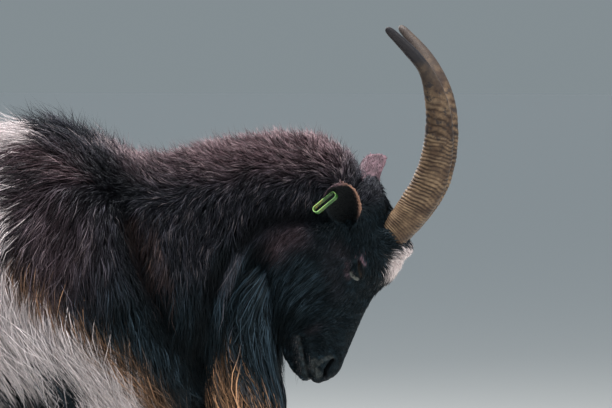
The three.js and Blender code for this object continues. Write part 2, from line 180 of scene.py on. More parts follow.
# Sun-browned hair.
BROWN_PATCHES = [
    ([(-10, 735), (40, 722), (80, 714)], 30.0, 1.0),
    ([(20, 660), (60, 600), (70, 550)], 60.0, 0.55),
    ([(178, 632), (196, 585), (214, 540)], 8.0, 0.42),
    ([(205, 620), (222, 570), (236, 520)], 6.0, 0.34),
    # Top of the cheek: brown hair, brightened as a painted highlight where light falls on it.
    ([(400, 622), (378, 612), (372, 596)], 16.0, 0.55),
]
# Tan hairs at the fold between neck and shoulder.
TAN_PATCHES = [
    ([(178, 632), (196, 585), (214, 540)], 5.0, 0.20),
    ([(205, 620), (222, 570), (236, 520)], 4.0, 0.14),
]
# The first locks of the beard, with less of the painted blue of shade than the rest.
LOCKS = [([(326, 600), (314, 572), (309, 550), (304, 523)], 11.0, 0.8)]
# Two folds of the body: between neck and shoulder, and behind the cheek.
VALLEY = [(150, 729), (171, 653), (192, 578), (233, 496), (281, 455)]
RUFF = [(448, 652), (411, 652), (384, 651), (363, 645), (346, 636), (330, 620), (309, 597), (291, 560),
        (278, 514), (270, 475), (264, 441)]
# Painted highlights: where the hair catches the light its tone is raised.
SHEEN = [
    ([(412, 632), (396, 620), (384, 606)], 13.0, 0.14),  # round of the cheek
    ([(351, 618), (359, 630), (373, 638), (392, 643)], 4.0, 0.12),
    ([(326, 600), (314, 572), (309, 550), (304, 523)], 10.0, 0.50),  # first locks of the beard
    ([(496, 598), (499, 589)], 3.0, 0.45),  # pale streak over the eye
    ([(80, 560), (140, 500), (215, 450)], 42.0, 0.10),
    ([(123, 748), (155, 742), (189, 733)], 9.0, 0.30),
    ([(215, 738), (300, 760), (380, 772), (440, 765), (480, 738)], 18.0, 0.10),  # crest
    ([(560, 598), (548, 572)], 15.0, 0.40),  # blaze
]
# Folds where the coat parts: the hair is shorter there and its tone darker with painted shade.
PARTINGS_AND_SHADE = [
    (VALLEY, 15.0, 0.75), (RUFF, 10.0, 0.9), ([(135, 714), (168, 688)], 22.0, 0.7),
    ([(354, 607), (346, 588), (338, 565), (329, 538)], 7.0, 0.7),  # between cheek and beard
]
MARKS = ("white", "tan", "brown", "sky_shade", "rim")
# The edge between the black front and the white rear: how far forward it is at each height.
EDGE_HEIGHTS = [-100, 389, 455, 496, 551, 590, 640, 668, 700, 735, 755, 775, 795, 900]
EDGE_AT = [480, 206, 132, 54, 2, -5, -4, -24, -34, -24, 8, 20, -6, -30]
# The same for the back edge of the white blaze on the forehead.
BLAZE_HEIGHTS = [552, 562, 574, 592, 610]
BLAZE_AT = [524, 528, 532, 538, 540]


def slanted(p):
    """Plan points moved back and down with their distance from the middle of the body, as the
    markings' edges slant that way round both sides."""
    return p - np.abs(p[:, 1:2]) * np.array([0.105, 0, 0.05])


def strongest(p, lines):
    """The strongest of several lines' marks at each point, fading with distance from the line."""
    out = np.zeros(len(p))
    for line, reach, strength in lines:
        out = np.maximum(out, strength * np.exp(-(side_distance(p, line) / reach) ** 2))
    return out


def markings(p):
    """Where the coat is white, tan, sun-browned and pink-brown, and where it takes a painted blue of shade,
    from 0 to 1.
    """
    q = slanted(p)
    x, y, z = q[:, 0], p[:, 1], q[:, 2]
    edge = np.interp(z, EDGE_HEIGHTS, EDGE_AT) + 8 * wobble(p, 26) + 4 * wobble(p, 9, 2.0)
    white = smooth_step(-10, 10, edge - x)
    tan = np.exp(-((edge - x + 12) / 17.0) ** 2) * smooth_step(580, 500, z)
    blaze = np.exp(-((y + 3 * wobble(p, 12)) / 38.0) ** 4)
    ahead = p[:, 0] - np.interp(p[:, 2], BLAZE_HEIGHTS, BLAZE_AT)
    blaze = blaze * smooth_step(-3, 3, ahead) * smooth_step(551, 562, z)
    blaze = blaze * smooth_step(611, 602, p[:, 2] + 2 * wobble(p, 8))
    white = np.maximum(white, blaze)
    # Painted shadow: under the belly and behind the elbow the white coat is turned black.
    belly_shadow, elbow_shadow = np.hypot((x - 60) / 125, (z - 330) / 56), np.hypot((x - 124) / 40, (z - 385) / 26)
    patch = np.minimum(belly_shadow, elbow_shadow) + 0.07 * wobble(p, 40) + 0.05 * wobble(p, 13)
    white = white * (1 - 0.95 * smooth_step(1.10, 0.88, patch) * smooth_step(140, 112, x))
    nape = smooth_step(665, 750, z - 0.10 * np.abs(x - 300))
    brown = nape * smooth_step(510, 440, x) * smooth_step(120, 200, x)
    brown = np.maximum(brown, strongest(q, BROWN_PATCHES))
    # Painted shade: low on the body, on the face and at the throat the black is tinted the blue of sky-lit
    # shade.
    sky_shade = np.maximum(smooth_step(600, 480, z), smooth_step(400, 450, x) * smooth_step(690, 650, z))
    sky_shade = np.maximum(sky_shade, smooth_step(610, 585, z) * smooth_step(285, 300, x))
    sky_shade = sky_shade * (1 - strongest(q, LOCKS))
    rim = strongest(p, EYE_PATCHES) * (np.abs(y) > 30)
    tan = np.maximum(tan + (0.12 - tan) * blaze, strongest(q, TAN_PATCHES))
    return np.stack([white, tan, brown, sky_shade, rim], 1)


def parting_and_shade(p):
    """How far hair stands aside at the folds of the coat, from 0 to 1; it also sets their painted shade."""
    return strongest(slanted(p), PARTINGS_AND_SHADE) * smooth_step(25, 60, np.abs(p[:, 1]))


def shaded(tone, p):
    """Tones of hairs, darker with painted shade where the coat parts and brighter with painted highlights where
    it catches the light.
    """
    q = slanted(p)
    x, z = q[:, 0], q[:, 2]
    # Painted highlight streaks along the hair on the lower cheek.
    low_cheek = smooth_step(350, 375, x) * smooth_step(605, 575, z) * smooth_step(470, 405, x)
    low_cheek = low_cheek * smooth_step(505, 540, z)
    streaks = np.stack([x * 0.73 - z * 0.68, p[:, 1] * 0.3, (x + z) / 9], 1)
    tone = tone + low_cheek * (0.17 + 0.42 * wobble(streaks, 4.5, 1.0))
    return np.clip(tone * (1 - 0.92 * parting_and_shade(p)) + strongest(q, SHEEN), 0, 1)


# ---- mesh helpers -----------------------------------------------------------------------------
def mesh_object(name, verts, tris):
    """An object from row-frame vertices and triangles, shaded smooth."""
    me = bpy.data.meshes.new(name)
    tris = np.ascontiguousarray(tris, dtype=np.int32)
    me.vertices.add(len(verts))
    me.vertices.foreach_set("co", np.ascontiguousarray(verts, dtype=np.float32).ravel())
    me.loops.add(tris.size)
    me.loops.foreach_set("vertex_index", tris.ravel())
    me.polygons.add(len(tris))
    me.polygons.foreach_set("loop_start", np.arange(0, tris.size, tris.shape[1], dtype=np.int32))
    me.polygons.foreach_set("use_smooth", np.ones(len(tris), dtype=bool))
    me.update(calc_edges=True)
    o = bpy.data.objects.new(name, me)
    bpy.context.collection.objects.link(o)
    return o


def positions(me):
    """A mesh's vertices as an array (n, 3)."""
    v = np.empty(len(me.vertices) * 3, dtype=np.float32)
    me.vertices.foreach_get("co", v)
    return v.reshape(-1, 3).astype(float)


def put_positions(me, v):
    """Moves a mesh's vertices to v."""
    me.vertices.foreach_set("co", np.ascontiguousarray(v, dtype=np.float32).ravel())
    me.update()


def normals(me):
    """The normal at each vertex."""
    n = np.empty(len(me.vertices) * 3, dtype=np.float32)
    me.vertex_normals.foreach_get("vector", n)
    return n.reshape(-1, 3).astype(float)


def edges_of(me):
    """The two vertices of each edge."""
    e = np.empty(len(me.edges) * 2, dtype=np.int32)
    me.edges.foreach_get("vertices", e)
    return e.reshape(-1, 2)


def relaxed(values, edges, rounds, keep=None):
    """Values smoothed over the mesh; keep (0 to 1 per vertex) holds some of them back."""
    amount = 0.5
    n = len(values)
    count = np.bincount(edges.ravel(), minlength=n).astype(float)
    count[count == 0] = 1
    move = amount if keep is None else (amount * (1 - keep))[:, None]
    v = values.copy()
    for _ in range(rounds):
        mean = np.empty_like(v)
        for k in range(v.shape[1]):
            s = np.bincount(edges[:, 0], weights=v[edges[:, 1], k], minlength=n)
            s += np.bincount(edges[:, 1], weights=v[edges[:, 0], k], minlength=n)
            mean[:, k] = s / count
        v += (mean - v) * move
    return v


def attribute(me, name, values):
    """Stores one number for each vertex."""
    a = me.attributes.new(name, "FLOAT", "POINT")
    a.data.foreach_set("value", np.ascontiguousarray(values, dtype=np.float32))


def baked(o, name):
    """The object with its modifiers applied, as a plain mesh object; the old one is removed."""
    dg = bpy.context.evaluated_depsgraph_get()
    me = bpy.data.meshes.new_from_object(o.evaluated_get(dg))
    made = bpy.data.objects.new(name, me)
    bpy.context.collection.objects.link(made)
    bpy.data.objects.remove(o)
    return made


def unwrap(o):
    """Lays the object's own shape out flat as the map OFBake."""
    bpy.context.view_layer.objects.active = o
    o.select_set(True)
    bpy.ops.object.mode_set(mode="EDIT")
    bpy.ops.mesh.select_all(action="SELECT")
    bpy.ops.uv.smart_project(angle_limit=math.radians(66), island_margin=0.002)
    bpy.ops.object.mode_set(mode="OBJECT")
    o.select_set(False)
    o.data.uv_layers.active.name = "OFBake"


def node_geometry(names):
    """The solids of these nodes as one list of vertices and triangles in the row frame."""
    verts, tris, base = [], [], 0
    for name in names:
        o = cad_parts[name]
        me = o.data
        me.calc_loop_triangles()
        place = o.matrix_world
        v = positions(me) @ np.array(place.to_3x3()).T + np.array(place.translation)
        t = np.empty(len(me.loop_triangles) * 3, dtype=np.int32)
        me.loop_triangles.foreach_get("vertices", t)
        verts.append(v)
        tris.append(t.reshape(-1, 3) + base)
        base += len(v)
    return np.concatenate(verts), np.concatenate(tris)


# ---- skin ---------------------------------------------------------------------------------------
SKIN_GRID = 0.0064  # metres between the points of the first mesh


def remeshed_flesh():
    """The solids of the flesh and the eyes, closed over by one even mesh."""
    o = mesh_object("skin_raw", *node_geometry(FLESH + ["eye_left", "eye_right"]))
    m = o.modifiers.new("close", "REMESH")
    m.mode = "VOXEL"
    m.voxel_size = SKIN_GRID
    return baked(o, "skin")


def refined(me, test):
    """Splits each edge whose both ends pass the test on plan points."""
    bm = bmesh.new()
    bm.from_mesh(me)
    bm.verts.ensure_lookup_table()
    inside = test(to_plan(np.array([v.co for v in bm.verts])))
    chosen = [e for e in bm.edges if inside[e.verts[0].index] and inside[e.verts[1].index]]
    bmesh.ops.subdivide_edges(bm, edges=chosen, cuts=1, use_grid_fill=True)
    bm.to_mesh(me)
    bm.free()
    me.update()


def head_zone(p, grow=0):
    """The head, up to the ears."""
    return ((p[:, 0] > 335 - grow) & (p[:, 2] < 700 + grow) & (p[:, 2] > 400)
            & (p[:, 0] + p[:, 2] * 0.55 > 668 - grow))


def fine_zone(p):
    """Round the eyes and over the muzzle."""
    x, y, z = p.T
    eye = (np.abs(x - EYE_PLAN[0]) < 30) & (np.abs(z - EYE_PLAN[2]) < 28) & (np.abs(y) > 28)
    return eye | (z < 505) & (x > 395) & (z > 400)


def crease_zone(p):
    """Round the eye slits, the nostrils and the mouth, where the skin's folds are narrow."""
    x, y, z = p.T
    eye = (np.hypot(x - EYE_PLAN[0], z - EYE_PLAN[2]) < 19) & (np.abs(y) > 40)
    mouth = side_distance(p, MOUTH) < 8
    nostril = (side_distance(p, NOSTRIL) < 9) & (np.abs(y) > 6)
    return eye | mouth | nostril


# Lines of x and z on the side of the head, that its folds follow. The last two lie on its crown.
MOUTH = [(417, 489), (420.5, 470), (422, 450), (427, 432), (429, 414)]
NOSTRIL = [(459, 456), (454, 450.5), (449.5, 443), (448, 434)]
POLL = [(527, 695), (539, 682), (551, 669)]
NAPE = [(494, 708), (512, 694)]
# Each form of the face: its line, how wide it is, and how far it rises or sinks (-).
FACE_FORMS = [
    (MOUTH, 2.0, -4.0),
    (POLL, 13.0, -15.0),
    (NAPE, 14.0, 14.0),
    ([(548, 674), (532, 646)], 9.0, -8.0),  # skull behind the horn
    ([(408, 487), (411, 462), (416, 432)], 5.5, 2.6),  # lower lip
    ([(424, 489), (430, 468), (432, 446), (439, 424)], 5.0, 2.2),  # upper lip
    ([(399, 478), (401, 452), (409, 432)], 4.0, -1.6),  # fold of the chin
    ([(458, 461), (448, 459), (439, 452), (436, 443), (437, 434)], 3.2, 2.4),  # wing of the nostril
    ([(433, 458), (432.5, 447), (435, 436)], 2.2, -1.8),  # fold behind the wing
    (NOSTRIL, 2.2, -8.0),
    ([(464, 470), (446, 474), (436, 478)], 8.0, -2.2),  # hollow over the nose
    ([(484, 553), (462, 536), (442, 515), (430, 500)], 7.5, 3.2),  # crest of the face
    ([(500, 545), (480, 517), (463, 490)], 9.0, -2.6),  # hollow beside the bridge
    ([(447, 548), (428, 528), (414, 512)], 10.0, -3.2),  # hollow in front of the cheek
    ([(486, 596), (468, 600), (448, 606), (430, 616)], 8.0, 2.2),  # cheek bone back to the ear
    ([(378, 628), (368, 596), (374, 568)], 18.0, 3.5),  # round of the cheek
    ([(404, 610), (410, 588), (402, 566)], 14.0, 2.5),  # and in front of it
    ([(520, 560), (508, 540)], 7.0, -1.5),  # beside the bridge, under the eye
    ([(534, 628), (546, 615), (553, 610)], 8.0, 8.0),  # collar of fur round the horn
    ([(530, 612), (544, 603)], 8.0, 6.0),  # in front of the horn
    ([(522, 660), (524, 642)], 8.0, -2.5),  # between ear and horn
]
# The same for the body.
BODY_FORMS = [
    (VALLEY, 16.0, -15.0),
    ([(110, 690), (128, 620), (150, 550), (190, 470)], 32.0, 8.0),  # front of the shoulder
    ([(215, 690), (222, 640), (240, 580), (256, 530)], 26.0, 6.0),  # side of the neck
    (RUFF, 11.0, -13.0),
    ([(430, 634), (404, 634), (378, 628), (366, 610)], 14.0, 6.0),  # top of the cheek
]


def side_distance(p, line):
    """How far points are, seen from the side, from a line of [x, z] points."""
    q, best = p[:, [0, 2]], np.full(len(p), 1e9)
    for a, b in zip(line[:-1], line[1:]):
        a, b = np.array(a, float), np.array(b, float)
        t = np.clip(((q - a) @ (b - a)) / ((b - a) @ (b - a)), 0, 1)
        best = np.minimum(best, np.linalg.norm(q - a - t[:, None] * (b - a), axis=1))
    return best


def eye_frame(side):
    """An eye's centre, the way it looks out, and the way its slit runs."""
    centre = np.array([EYE_PLAN[0] - 4, side * EYE_PLAN[1], EYE_PLAN[2] + 4])
    out = np.array([0.22, side, 0.02])
    out /= np.linalg.norm(out)
    level = np.array([0.14, 0, -0.99])
    level -= out * (level @ out)
    level /= np.linalg.norm(level)
    return centre, out, level


def shape_lids(p, side):
    """Wraps the lids round one eye, leaving a narrow slit."""
    eye, out, along = eye_frame(side)
    up = np.cross(out, along)
    up *= np.sign(up[0])
    q = p - eye
    a, b, c = q @ along, q @ up, q @ out
    r = np.hypot(a, b)
    near = (r < 30) & (c > -6)
    lid = np.sqrt(np.maximum((EYE_RADIUS + 1.6) ** 2 - r ** 2, 0)) - 0.4
    lid = (lid + c + np.sqrt((lid - c) ** 2 + 3.0)) / 2
    crease = 1.5 * np.exp(-((b - 7.0) / 1.6) ** 2) * np.exp(-(a / 11) ** 2)
    crease += 1.0 * np.exp(-((b + 8.5) / 1.8) ** 2) * np.exp(-(a / 11) ** 2)
    half = 2.3 * np.maximum(0, 1 - (a / 12.5) ** 2)
    gap = smooth_step(0.7, -0.7, np.abs(b + 1.2) - half) * (np.abs(a) < 13)
    sunk = np.sqrt(np.maximum((EYE_RADIUS - 2.2) ** 2 - r ** 2, 0))
    target = (lid - crease) * (1 - gap) + sunk * gap
    blend = smooth_step(24, 14, r)
    brow = 4.2 * np.exp(-((b - 15) / 6.0) ** 2 - ((a + 2) / 19) ** 2)
    under = -1.4 * np.exp(-((b + 15) / 5.0) ** 2 - (a / 16) ** 2)
    moved = c * (1 - blend) + target * blend + brow + under
    p = p.copy()
    p[near] += out * (moved - c)[near, None]
    return p


def shape_face(p, n):
    """Raises and sinks the skin along the lines of the face."""
    rise = np.zeros(len(p))
    for line, reach, height in FACE_FORMS:
        there = np.exp(-(side_distance(p, line) / reach) ** 2)
        if line not in (MOUTH, POLL, NAPE):
            there *= smooth_step(4, 12, np.abs(p[:, 1]))
        rise += height * there
    groove = np.exp(-(p[:, 1] / 2.2) ** 2) * smooth_step(432, 440, p[:, 0])  # down the upper lip
    groove = groove * smooth_step(462, 450, p[:, 2])
    return p + n * (rise - 1.6 * groove)[:, None]


# Each ear: its root, the way it grows, and the way its cup opens.
EARS = {
    "left": ((473, 50, 646), (0.20, 0.62, 0.74), (0.66, 0.47, -0.59)),
    "right": ((484, -50, 647), (-0.06, -0.86, 0.5), (0.15, -0.48, -0.86)),
}
EAR_LEAF = {}  # each ear's points, and how near its edge, inside and how far along they are


def ear_mesh(name, root, direction, opening):
    """An ear as in the solids, thinner, with more turns of its leaf and folds inside."""
    length, width, thick = 114.0, 55.0, 3.0
    d = np.array(direction, float)
    d /= np.linalg.norm(d)
    across = np.cross(d, np.array(opening, float))
    across /= np.linalg.norm(across)
    out = np.cross(across, d)
    out /= np.linalg.norm(out)
    rings, turns = 44, 52
    t, turn = ring_places(rings, turns)
    if name == "left":
        widths, tip = (0.5, 0.84, 1.02, 1.04, 1.04, 1.08, 1.0), 0.08
    else:
        widths, tip = (0.32, 0.62, 0.88, 1, 0.98, 0.88, 0.68), 0.14
    half = along(np.array(widths) * width / 2, t)[:, 0]
    bend = along([2.4, 2.0, 1.5, 1.15, 0.9, 0.7, 0.6], t)[:, 0]  # half the cup's angle, in radians
    into = np.minimum(np.minimum(t / 0.08, (1 - t) / tip), 1)
    spread = np.sqrt(1 - (1 - into) ** 2)
    c = np.sign(np.cos(turn)) * np.abs(np.cos(turn)) ** 0.8
    radius = (half + 1) / bend
    angle = spread * c * bend
    inner = np.sin(turn) < 0
    fold = 0.65 * np.cos(3.2 * angle) * np.sin(math.pi * t) * np.abs(np.sin(turn)) * inner
    skin = thick / 2 * np.sin(turn) * np.sqrt(spread) + fold
    wave = 1.5 * np.sin(t * 9 + 1.2 * c) * np.abs(c) ** 3
    leaf = (np.array(root, float) + d * (length * t)[:, None]
            + across * ((radius + skin) * np.sin(angle))[:, None]
            + out * (radius - (radius + skin) * np.cos(angle) + wave)[:, None])
    edge = np.stack([np.maximum(np.abs(c), smooth_step(0.8, 1.0, t)), inner, t], 1)
    EAR_LEAF[name] = (leaf, edge)
    return closed_grid(name, leaf, rings, turns)


def sink_by_coat(me):
    """Moves the skin in from the solids' surface by the coat's depth, less at the feet, and gives
    the body its valleys and swells."""
    edges = edges_of(me)
    v = relaxed(positions(me), edges, 3)
    put_positions(me, v)
    p = to_plan(v)
    depth = relaxed(coat_at(p)[:, 3:4], edges, 6)[:, 0]
    depth = np.where(p[:, 2] < 62, 1.2, depth)
    n = unit(relaxed(normals(me), edges, 4))
    foot = smooth_step(95, 62, p[:, 2])
    v = relaxed(v - n * (depth / 1000)[:, None] * 0.95, edges, 5, np.maximum(head_zone(p) * 0.7, foot))
    p = to_plan(v)
    p[:, :2] += n[:, :2] * (3.2 * foot)[:, None]  # the pastern spreads to the hoof's crown
    p[:, 2] -= 2.5 * foot
    rise = np.zeros(len(p))
    for line, reach, height in BODY_FORMS:
        rise += height * np.exp(-(side_distance(slanted(p), line) / reach) ** 2)
    put_positions(me, to_row(p + n * (rise * smooth_step(30, 70, np.abs(p[:, 1])))[:, None]))


def shape_head(me):
    """Makes the head's mesh finer, and shapes the face and the lids on it."""
    for zone in (head_zone, fine_zone, crease_zone):
        refined(me, zone)
    v = positions(me)
    v = relaxed(v, edges_of(me), 4, 1 - head_zone(to_plan(v), 8).astype(float))
    put_positions(me, v)
    p = shape_face(to_plan(v), normals(me))
    for side in (-1, 1):
        p = shape_lids(p, side)
    put_positions(me, to_row(p))


def make_skin():
    """One closed skin for the whole animal, its ears joined to it, with its map."""
    skin = remeshed_flesh()
    sink_by_coat(skin.data)
    shape_head(skin.data)
    for name, (root, direction, opening) in EARS.items():
        ear = ear_mesh(name, root, direction, opening)
        m = skin.modifiers.new("ear", "BOOLEAN")
        m.operation = "UNION"
        m.solver = "EXACT"
        m.object = ear
        skin = baked(skin, "skin")
        bpy.data.objects.remove(ear)
    skin.data.name = "skin"
    skin.data.polygons.foreach_set("use_smooth", np.ones(len(skin.data.polygons), dtype=bool))
    unwrap(skin)
    return skin


# ---- lofts: a body between two side outlines, as in the solids but finer --------------------------
def along(rows, t):
    """The values at t (0 to 1) of the way along evenly spaced stations, passing through each."""
    rows = np.asarray(rows, dtype=float)
    rows = rows[:, None] if rows.ndim == 1 else rows
    n = len(rows) - 1
    i = np.minimum((t * n).astype(int), n - 1)
    f = (t * n - i)[:, None]
    a, b, c, d = (rows[np.clip(i + k, 0, n)] for k in (-1, 0, 1, 2))
    s0, s1 = (c - a) / 2, (d - b) / 2
    return b + f * (s0 + f * (3 * (c - b) - 2 * s0 - s1 + f * (2 * (b - c) + s0 + s1)))


def loft_points(form, t, turn, radius=1.0, side=1, offset=(0, 0), square=2.2):
    """Plan points of a loft at each t and turn (arrays), as far out as radius says."""
    top, low = along(form["top"], t), along(form["low"], t)
    half = along(form["half"], t)[:, 0]
    start, end = form.get("caps", (0, 0))
    into = np.minimum(t / start if start else 1, (1 - t) / end if end else 1)
    opening = np.sqrt(np.maximum(0, 1 - (1 - np.minimum(into, 1)) ** 2)) * radius
    up = (top - low) / 2
    c = np.sign(np.cos(turn)) * np.abs(np.cos(turn)) ** (2 / square)
    s = np.sign(np.sin(turn)) * np.abs(np.sin(turn)) ** (2 / square)
    spread = along(form["across"], t)[:, 0] if "across" in form else 0
    mid = (top + low) / 2 + up * (opening * c)[:, None]
    return np.stack([mid[:, 0] + offset[0], half * opening * s + side * spread + offset[1], mid[:, 1]], 1)


def closed_grid(name, points, rings, turns):
    """A closed mesh from rings of plan points, with a point at the middle of each end ring."""
    i, j = np.meshgrid(np.arange(rings - 1), np.arange(turns), indexing="ij")
    a = (i * turns + j).ravel()
    b = (i * turns + (j + 1) % turns).ravel()
    tris = np.concatenate([np.stack([a, b, b + turns], 1), np.stack([a, b + turns, a + turns], 1)])
    first, last = len(points), len(points) + 1
    k = np.arange(turns)
    m = (k + 1) % turns
    base = (rings - 1) * turns
    ends = np.concatenate([np.stack([np.full(turns, first), m, k], 1),
                           np.stack([np.full(turns, last), base + k, base + m], 1)])
    points = np.concatenate([points, [points[:turns].mean(0)], [points[base:base + turns].mean(0)]])
    tris = np.concatenate([tris, ends])
    p, q, r = (points[tris[:, x]] - points.mean(0) for x in range(3))
    if np.einsum("ij,ij->i", p, np.cross(q, r)).sum() < 0:
        tris = tris[:, ::-1]
    return mesh_object(name, to_row(points), tris)


def ring_places(rings, turns, ends=0.0):
    """t and turn for every point of a loft; ends crowds the rings towards both ends."""
    u = np.linspace(0, 1, rings)
    t = u * (1 - ends) + ends * (1 - np.cos(math.pi * u)) / 2
    t = np.clip(t, 0.0004, 0.9996)
    turn = 2 * math.pi * np.arange(turns) / turns
    return np.repeat(t, turns), np.tile(turn, rings)


# The forms that are lofted: the upper and lower outline of each on the side view, half its width,
# and how much of its length each rounded end takes. A horn's middle also goes out from the head.
HORN = {
    "top": [[530, 587], [555, 615], [590, 654.5], [612, 692], [622.5, 738], [623.5, 777.5], [618, 812],
            [605, 844.5], [581, 879], [542.5, 915]],
    "low": [[502, 615], [528, 644], [549, 673.5], [569, 706], [582.5, 743], [588, 781.5], [587, 815],
            [580, 849.5], [562, 875], [534.5, 908]],
    "across": [22, 26, 31, 36, 43, 51, 60, 71, 86, 106],
    "half": [18, 18.5, 18, 17, 15.5, 14, 12, 10, 8, 5],
    "caps": (0.02, 0.03),
}
BEARD = {
    "top": [[404, 586], [388, 540], [378, 492], [380, 444], [388, 400], [387, 362], [374, 326]],
    "low": [[342, 616], [306, 564], [284, 508], [278, 450], [281, 398], [302, 350], [348, 318]],
    "half": [71, 79, 74, 64, 52, 38, 20],
    "caps": (0.12, 0.16),
}
CLAW = {
    "top": [[42, 0], [38, 13], [33, 29], [29, 43.7]],
    "low": [[-22, 0], [-22, 10], [-19, 26], [-15, 43.7]],
    "half": [12.6, 12.8, 12, 11],
}


# ---- Geometry Nodes and shader node helpers ----------------------------------------------------
def socket(tree, name, kind, into=True, value=None):
    """A named input or output of a node group."""
    s = tree.interface.new_socket(name, in_out="INPUT" if into else "OUTPUT", socket_type=kind)
    if value is not None:
        s.default_value = value
    return s


def run_tree(o, tree, inputs, name):
    """Runs a geometry tree on an object with its named inputs set, and gives back a plain mesh."""
    m = o.modifiers.new("grow", "NODES")
    m.node_group = tree
    ids = {s.name: s.identifier for s in tree.interface.items_tree if s.in_out == "INPUT"}
    for key, value in inputs.items():
        m[ids[key]] = value
    return baked(o, name)


def math_node(tree, kind, a, b=None, clamp=False):
    """A Math node; a and b are numbers or sockets."""
    n = tree.nodes.new("ShaderNodeMath")
    n.operation = kind
    n.use_clamp = clamp
    for i, v in enumerate((a, b)):
        if v is None:
            continue
        if isinstance(v, (int, float)):
            n.inputs[i].default_value = v
        else:
            tree.links.new(v, n.inputs[i])
    return n.outputs[0]


def mix_colour(tree, factor, a, b, kind="MIX"):
    """A mix of two colours; each may be a colour or a socket."""
    n = tree.nodes.new("ShaderNodeMix")
    n.data_type = "RGBA"
    n.blend_type = kind
    for index, v in ((0, factor), (6, a), (7, b)):
        if isinstance(v, (int, float)):
            n.inputs[index].default_value = v
        elif isinstance(v, tuple):
            n.inputs[index].default_value = v + (1,)
        else:
            tree.links.new(v, n.inputs[index])
    return n.outputs[2]


def noise_node(tree, scale, detail, rough):
    """Noise on the piece's own coordinates."""
    coords = tree.nodes.new("ShaderNodeTexCoord").outputs["Object"]
    n = tree.nodes.new("ShaderNodeTexNoise")
    n.inputs["Scale"].default_value = scale
    n.inputs["Detail"].default_value = detail
    n.inputs["Roughness"].default_value = rough
    tree.links.new(coords, n.inputs["Vector"])
    return n.outputs["Fac"]


def attribute_node(tree, name):
    """A number stored on the mesh."""
    n = tree.nodes.new("ShaderNodeAttribute")
    n.attribute_name = name
    return n.outputs["Fac"]


def map_range(tree, value, lo, hi, out_lo=0.0, out_hi=1.0):
    """A value taken from one range to another, and held inside it."""
    n = tree.nodes.new("ShaderNodeMapRange")
    tree.links.new(value, n.inputs[0])
    for i, v in enumerate((lo, hi, out_lo, out_hi)):
        n.inputs[i + 1].default_value = v
    return n.outputs[0]


# ---- shader groups -----------------------------------------------------------------------------
COAT_INPUTS = ("White", "Tan", "Brown", "Sky_Shade", "Tone", "Tip", "Rim")


def make_coat_colours():
    """Turns the marking masks of a hair or of the skin, and the painted shade and highlights they carry, into
    its colour and roughness.
    """
    g = bpy.data.node_groups.new("coat_colours", "ShaderNodeTree")
    for name in COAT_INPUTS:
        socket(g, name, "NodeSocketFloat")
    socket(g, "Color", "NodeSocketColor", into=False)
    socket(g, "Roughness", "NodeSocketFloat", into=False)
    i, o = g.nodes.new("NodeGroupInput").outputs, g.nodes.new("NodeGroupOutput").inputs
    # Painted shade: the black turns blue-grey where the sky-blue of shade is painted on.
    dark = mix_colour(g, i["Sky_Shade"], (0.0134, 0.0130, 0.0172), (0.0044, 0.0092, 0.0116))
    sunned = mix_colour(g, i["Tip"], (0.042, 0.0245, 0.0270), (0.108, 0.064, 0.070))
    dark = mix_colour(g, i["Brown"], dark, sunned)
    # Olive-brown on the tips of the brightest hairs: partly sun-bleached ends, partly a painted highlight; less
    # of it in the painted blue shade.
    tan_and_highlight = math_node(g, "MULTIPLY", map_range(g, i["Tone"], 0.80, 0.95), i["Tip"], clamp=True)
    tan_and_highlight = math_node(g, "MULTIPLY", tan_and_highlight, math_node(g, "SUBTRACT", 0.7, i["Sky_Shade"], clamp=True))
    dark = mix_colour(g, tan_and_highlight, dark, (0.080, 0.061, 0.049))
    # White hair darker towards the root: painted shade within the coat.
    pale = mix_colour(g, i["Tip"], (0.53, 0.45, 0.435), (0.92, 0.84, 0.85))
    # Painted sheen: the brighter the hair's tone, the more grey-blue sky sheen is added to its colour.
    painted_sheen = map_range(g, i["Tone"], 0.5, 1.0, 0.0, 0.6)
    sky_sheen_colour = mix_colour(g, i["Sky_Shade"], (0.031, 0.030, 0.040), (0.019, 0.027, 0.037))
    dark = mix_colour(g, painted_sheen, dark, sky_sheen_colour, "ADD")
    c = mix_colour(g, i["White"], dark, pale)
    c = mix_colour(g, math_node(g, "MULTIPLY", i["Tan"], 0.8, clamp=True), c, (0.350, 0.195, 0.108))
    c = mix_colour(g, i["Rim"], c, (0.180, 0.105, 0.124))
    # The tone sets how bright the colour is: partly the hairs' own random tone, partly painted shade and
    # highlights.
    lit = math_node(g, "MULTIPLY", math_node(g, "POWER", i["Tone"], 2.4), 3.0)
    lit = math_node(g, "ADD", lit, 0.32)
    even = map_range(g, i["Tone"], 0.1, 0.9, 0.50, 1.38)
    value = g.nodes.new("ShaderNodeMix")
    g.links.new(math_node(g, "MAXIMUM", i["White"], i["Rim"]), value.inputs[0])
    g.links.new(lit, value.inputs[2])
    g.links.new(even, value.inputs[3])
    level = g.nodes.new("ShaderNodeHueSaturation")
    g.links.new(value.outputs[0], level.inputs["Value"])
    g.links.new(c, level.inputs["Color"])
    g.links.new(level.outputs[0], o["Color"])
    g.links.new(map_range(g, i["White"], 0, 1, 0.46, 0.62), o["Roughness"])
    return g


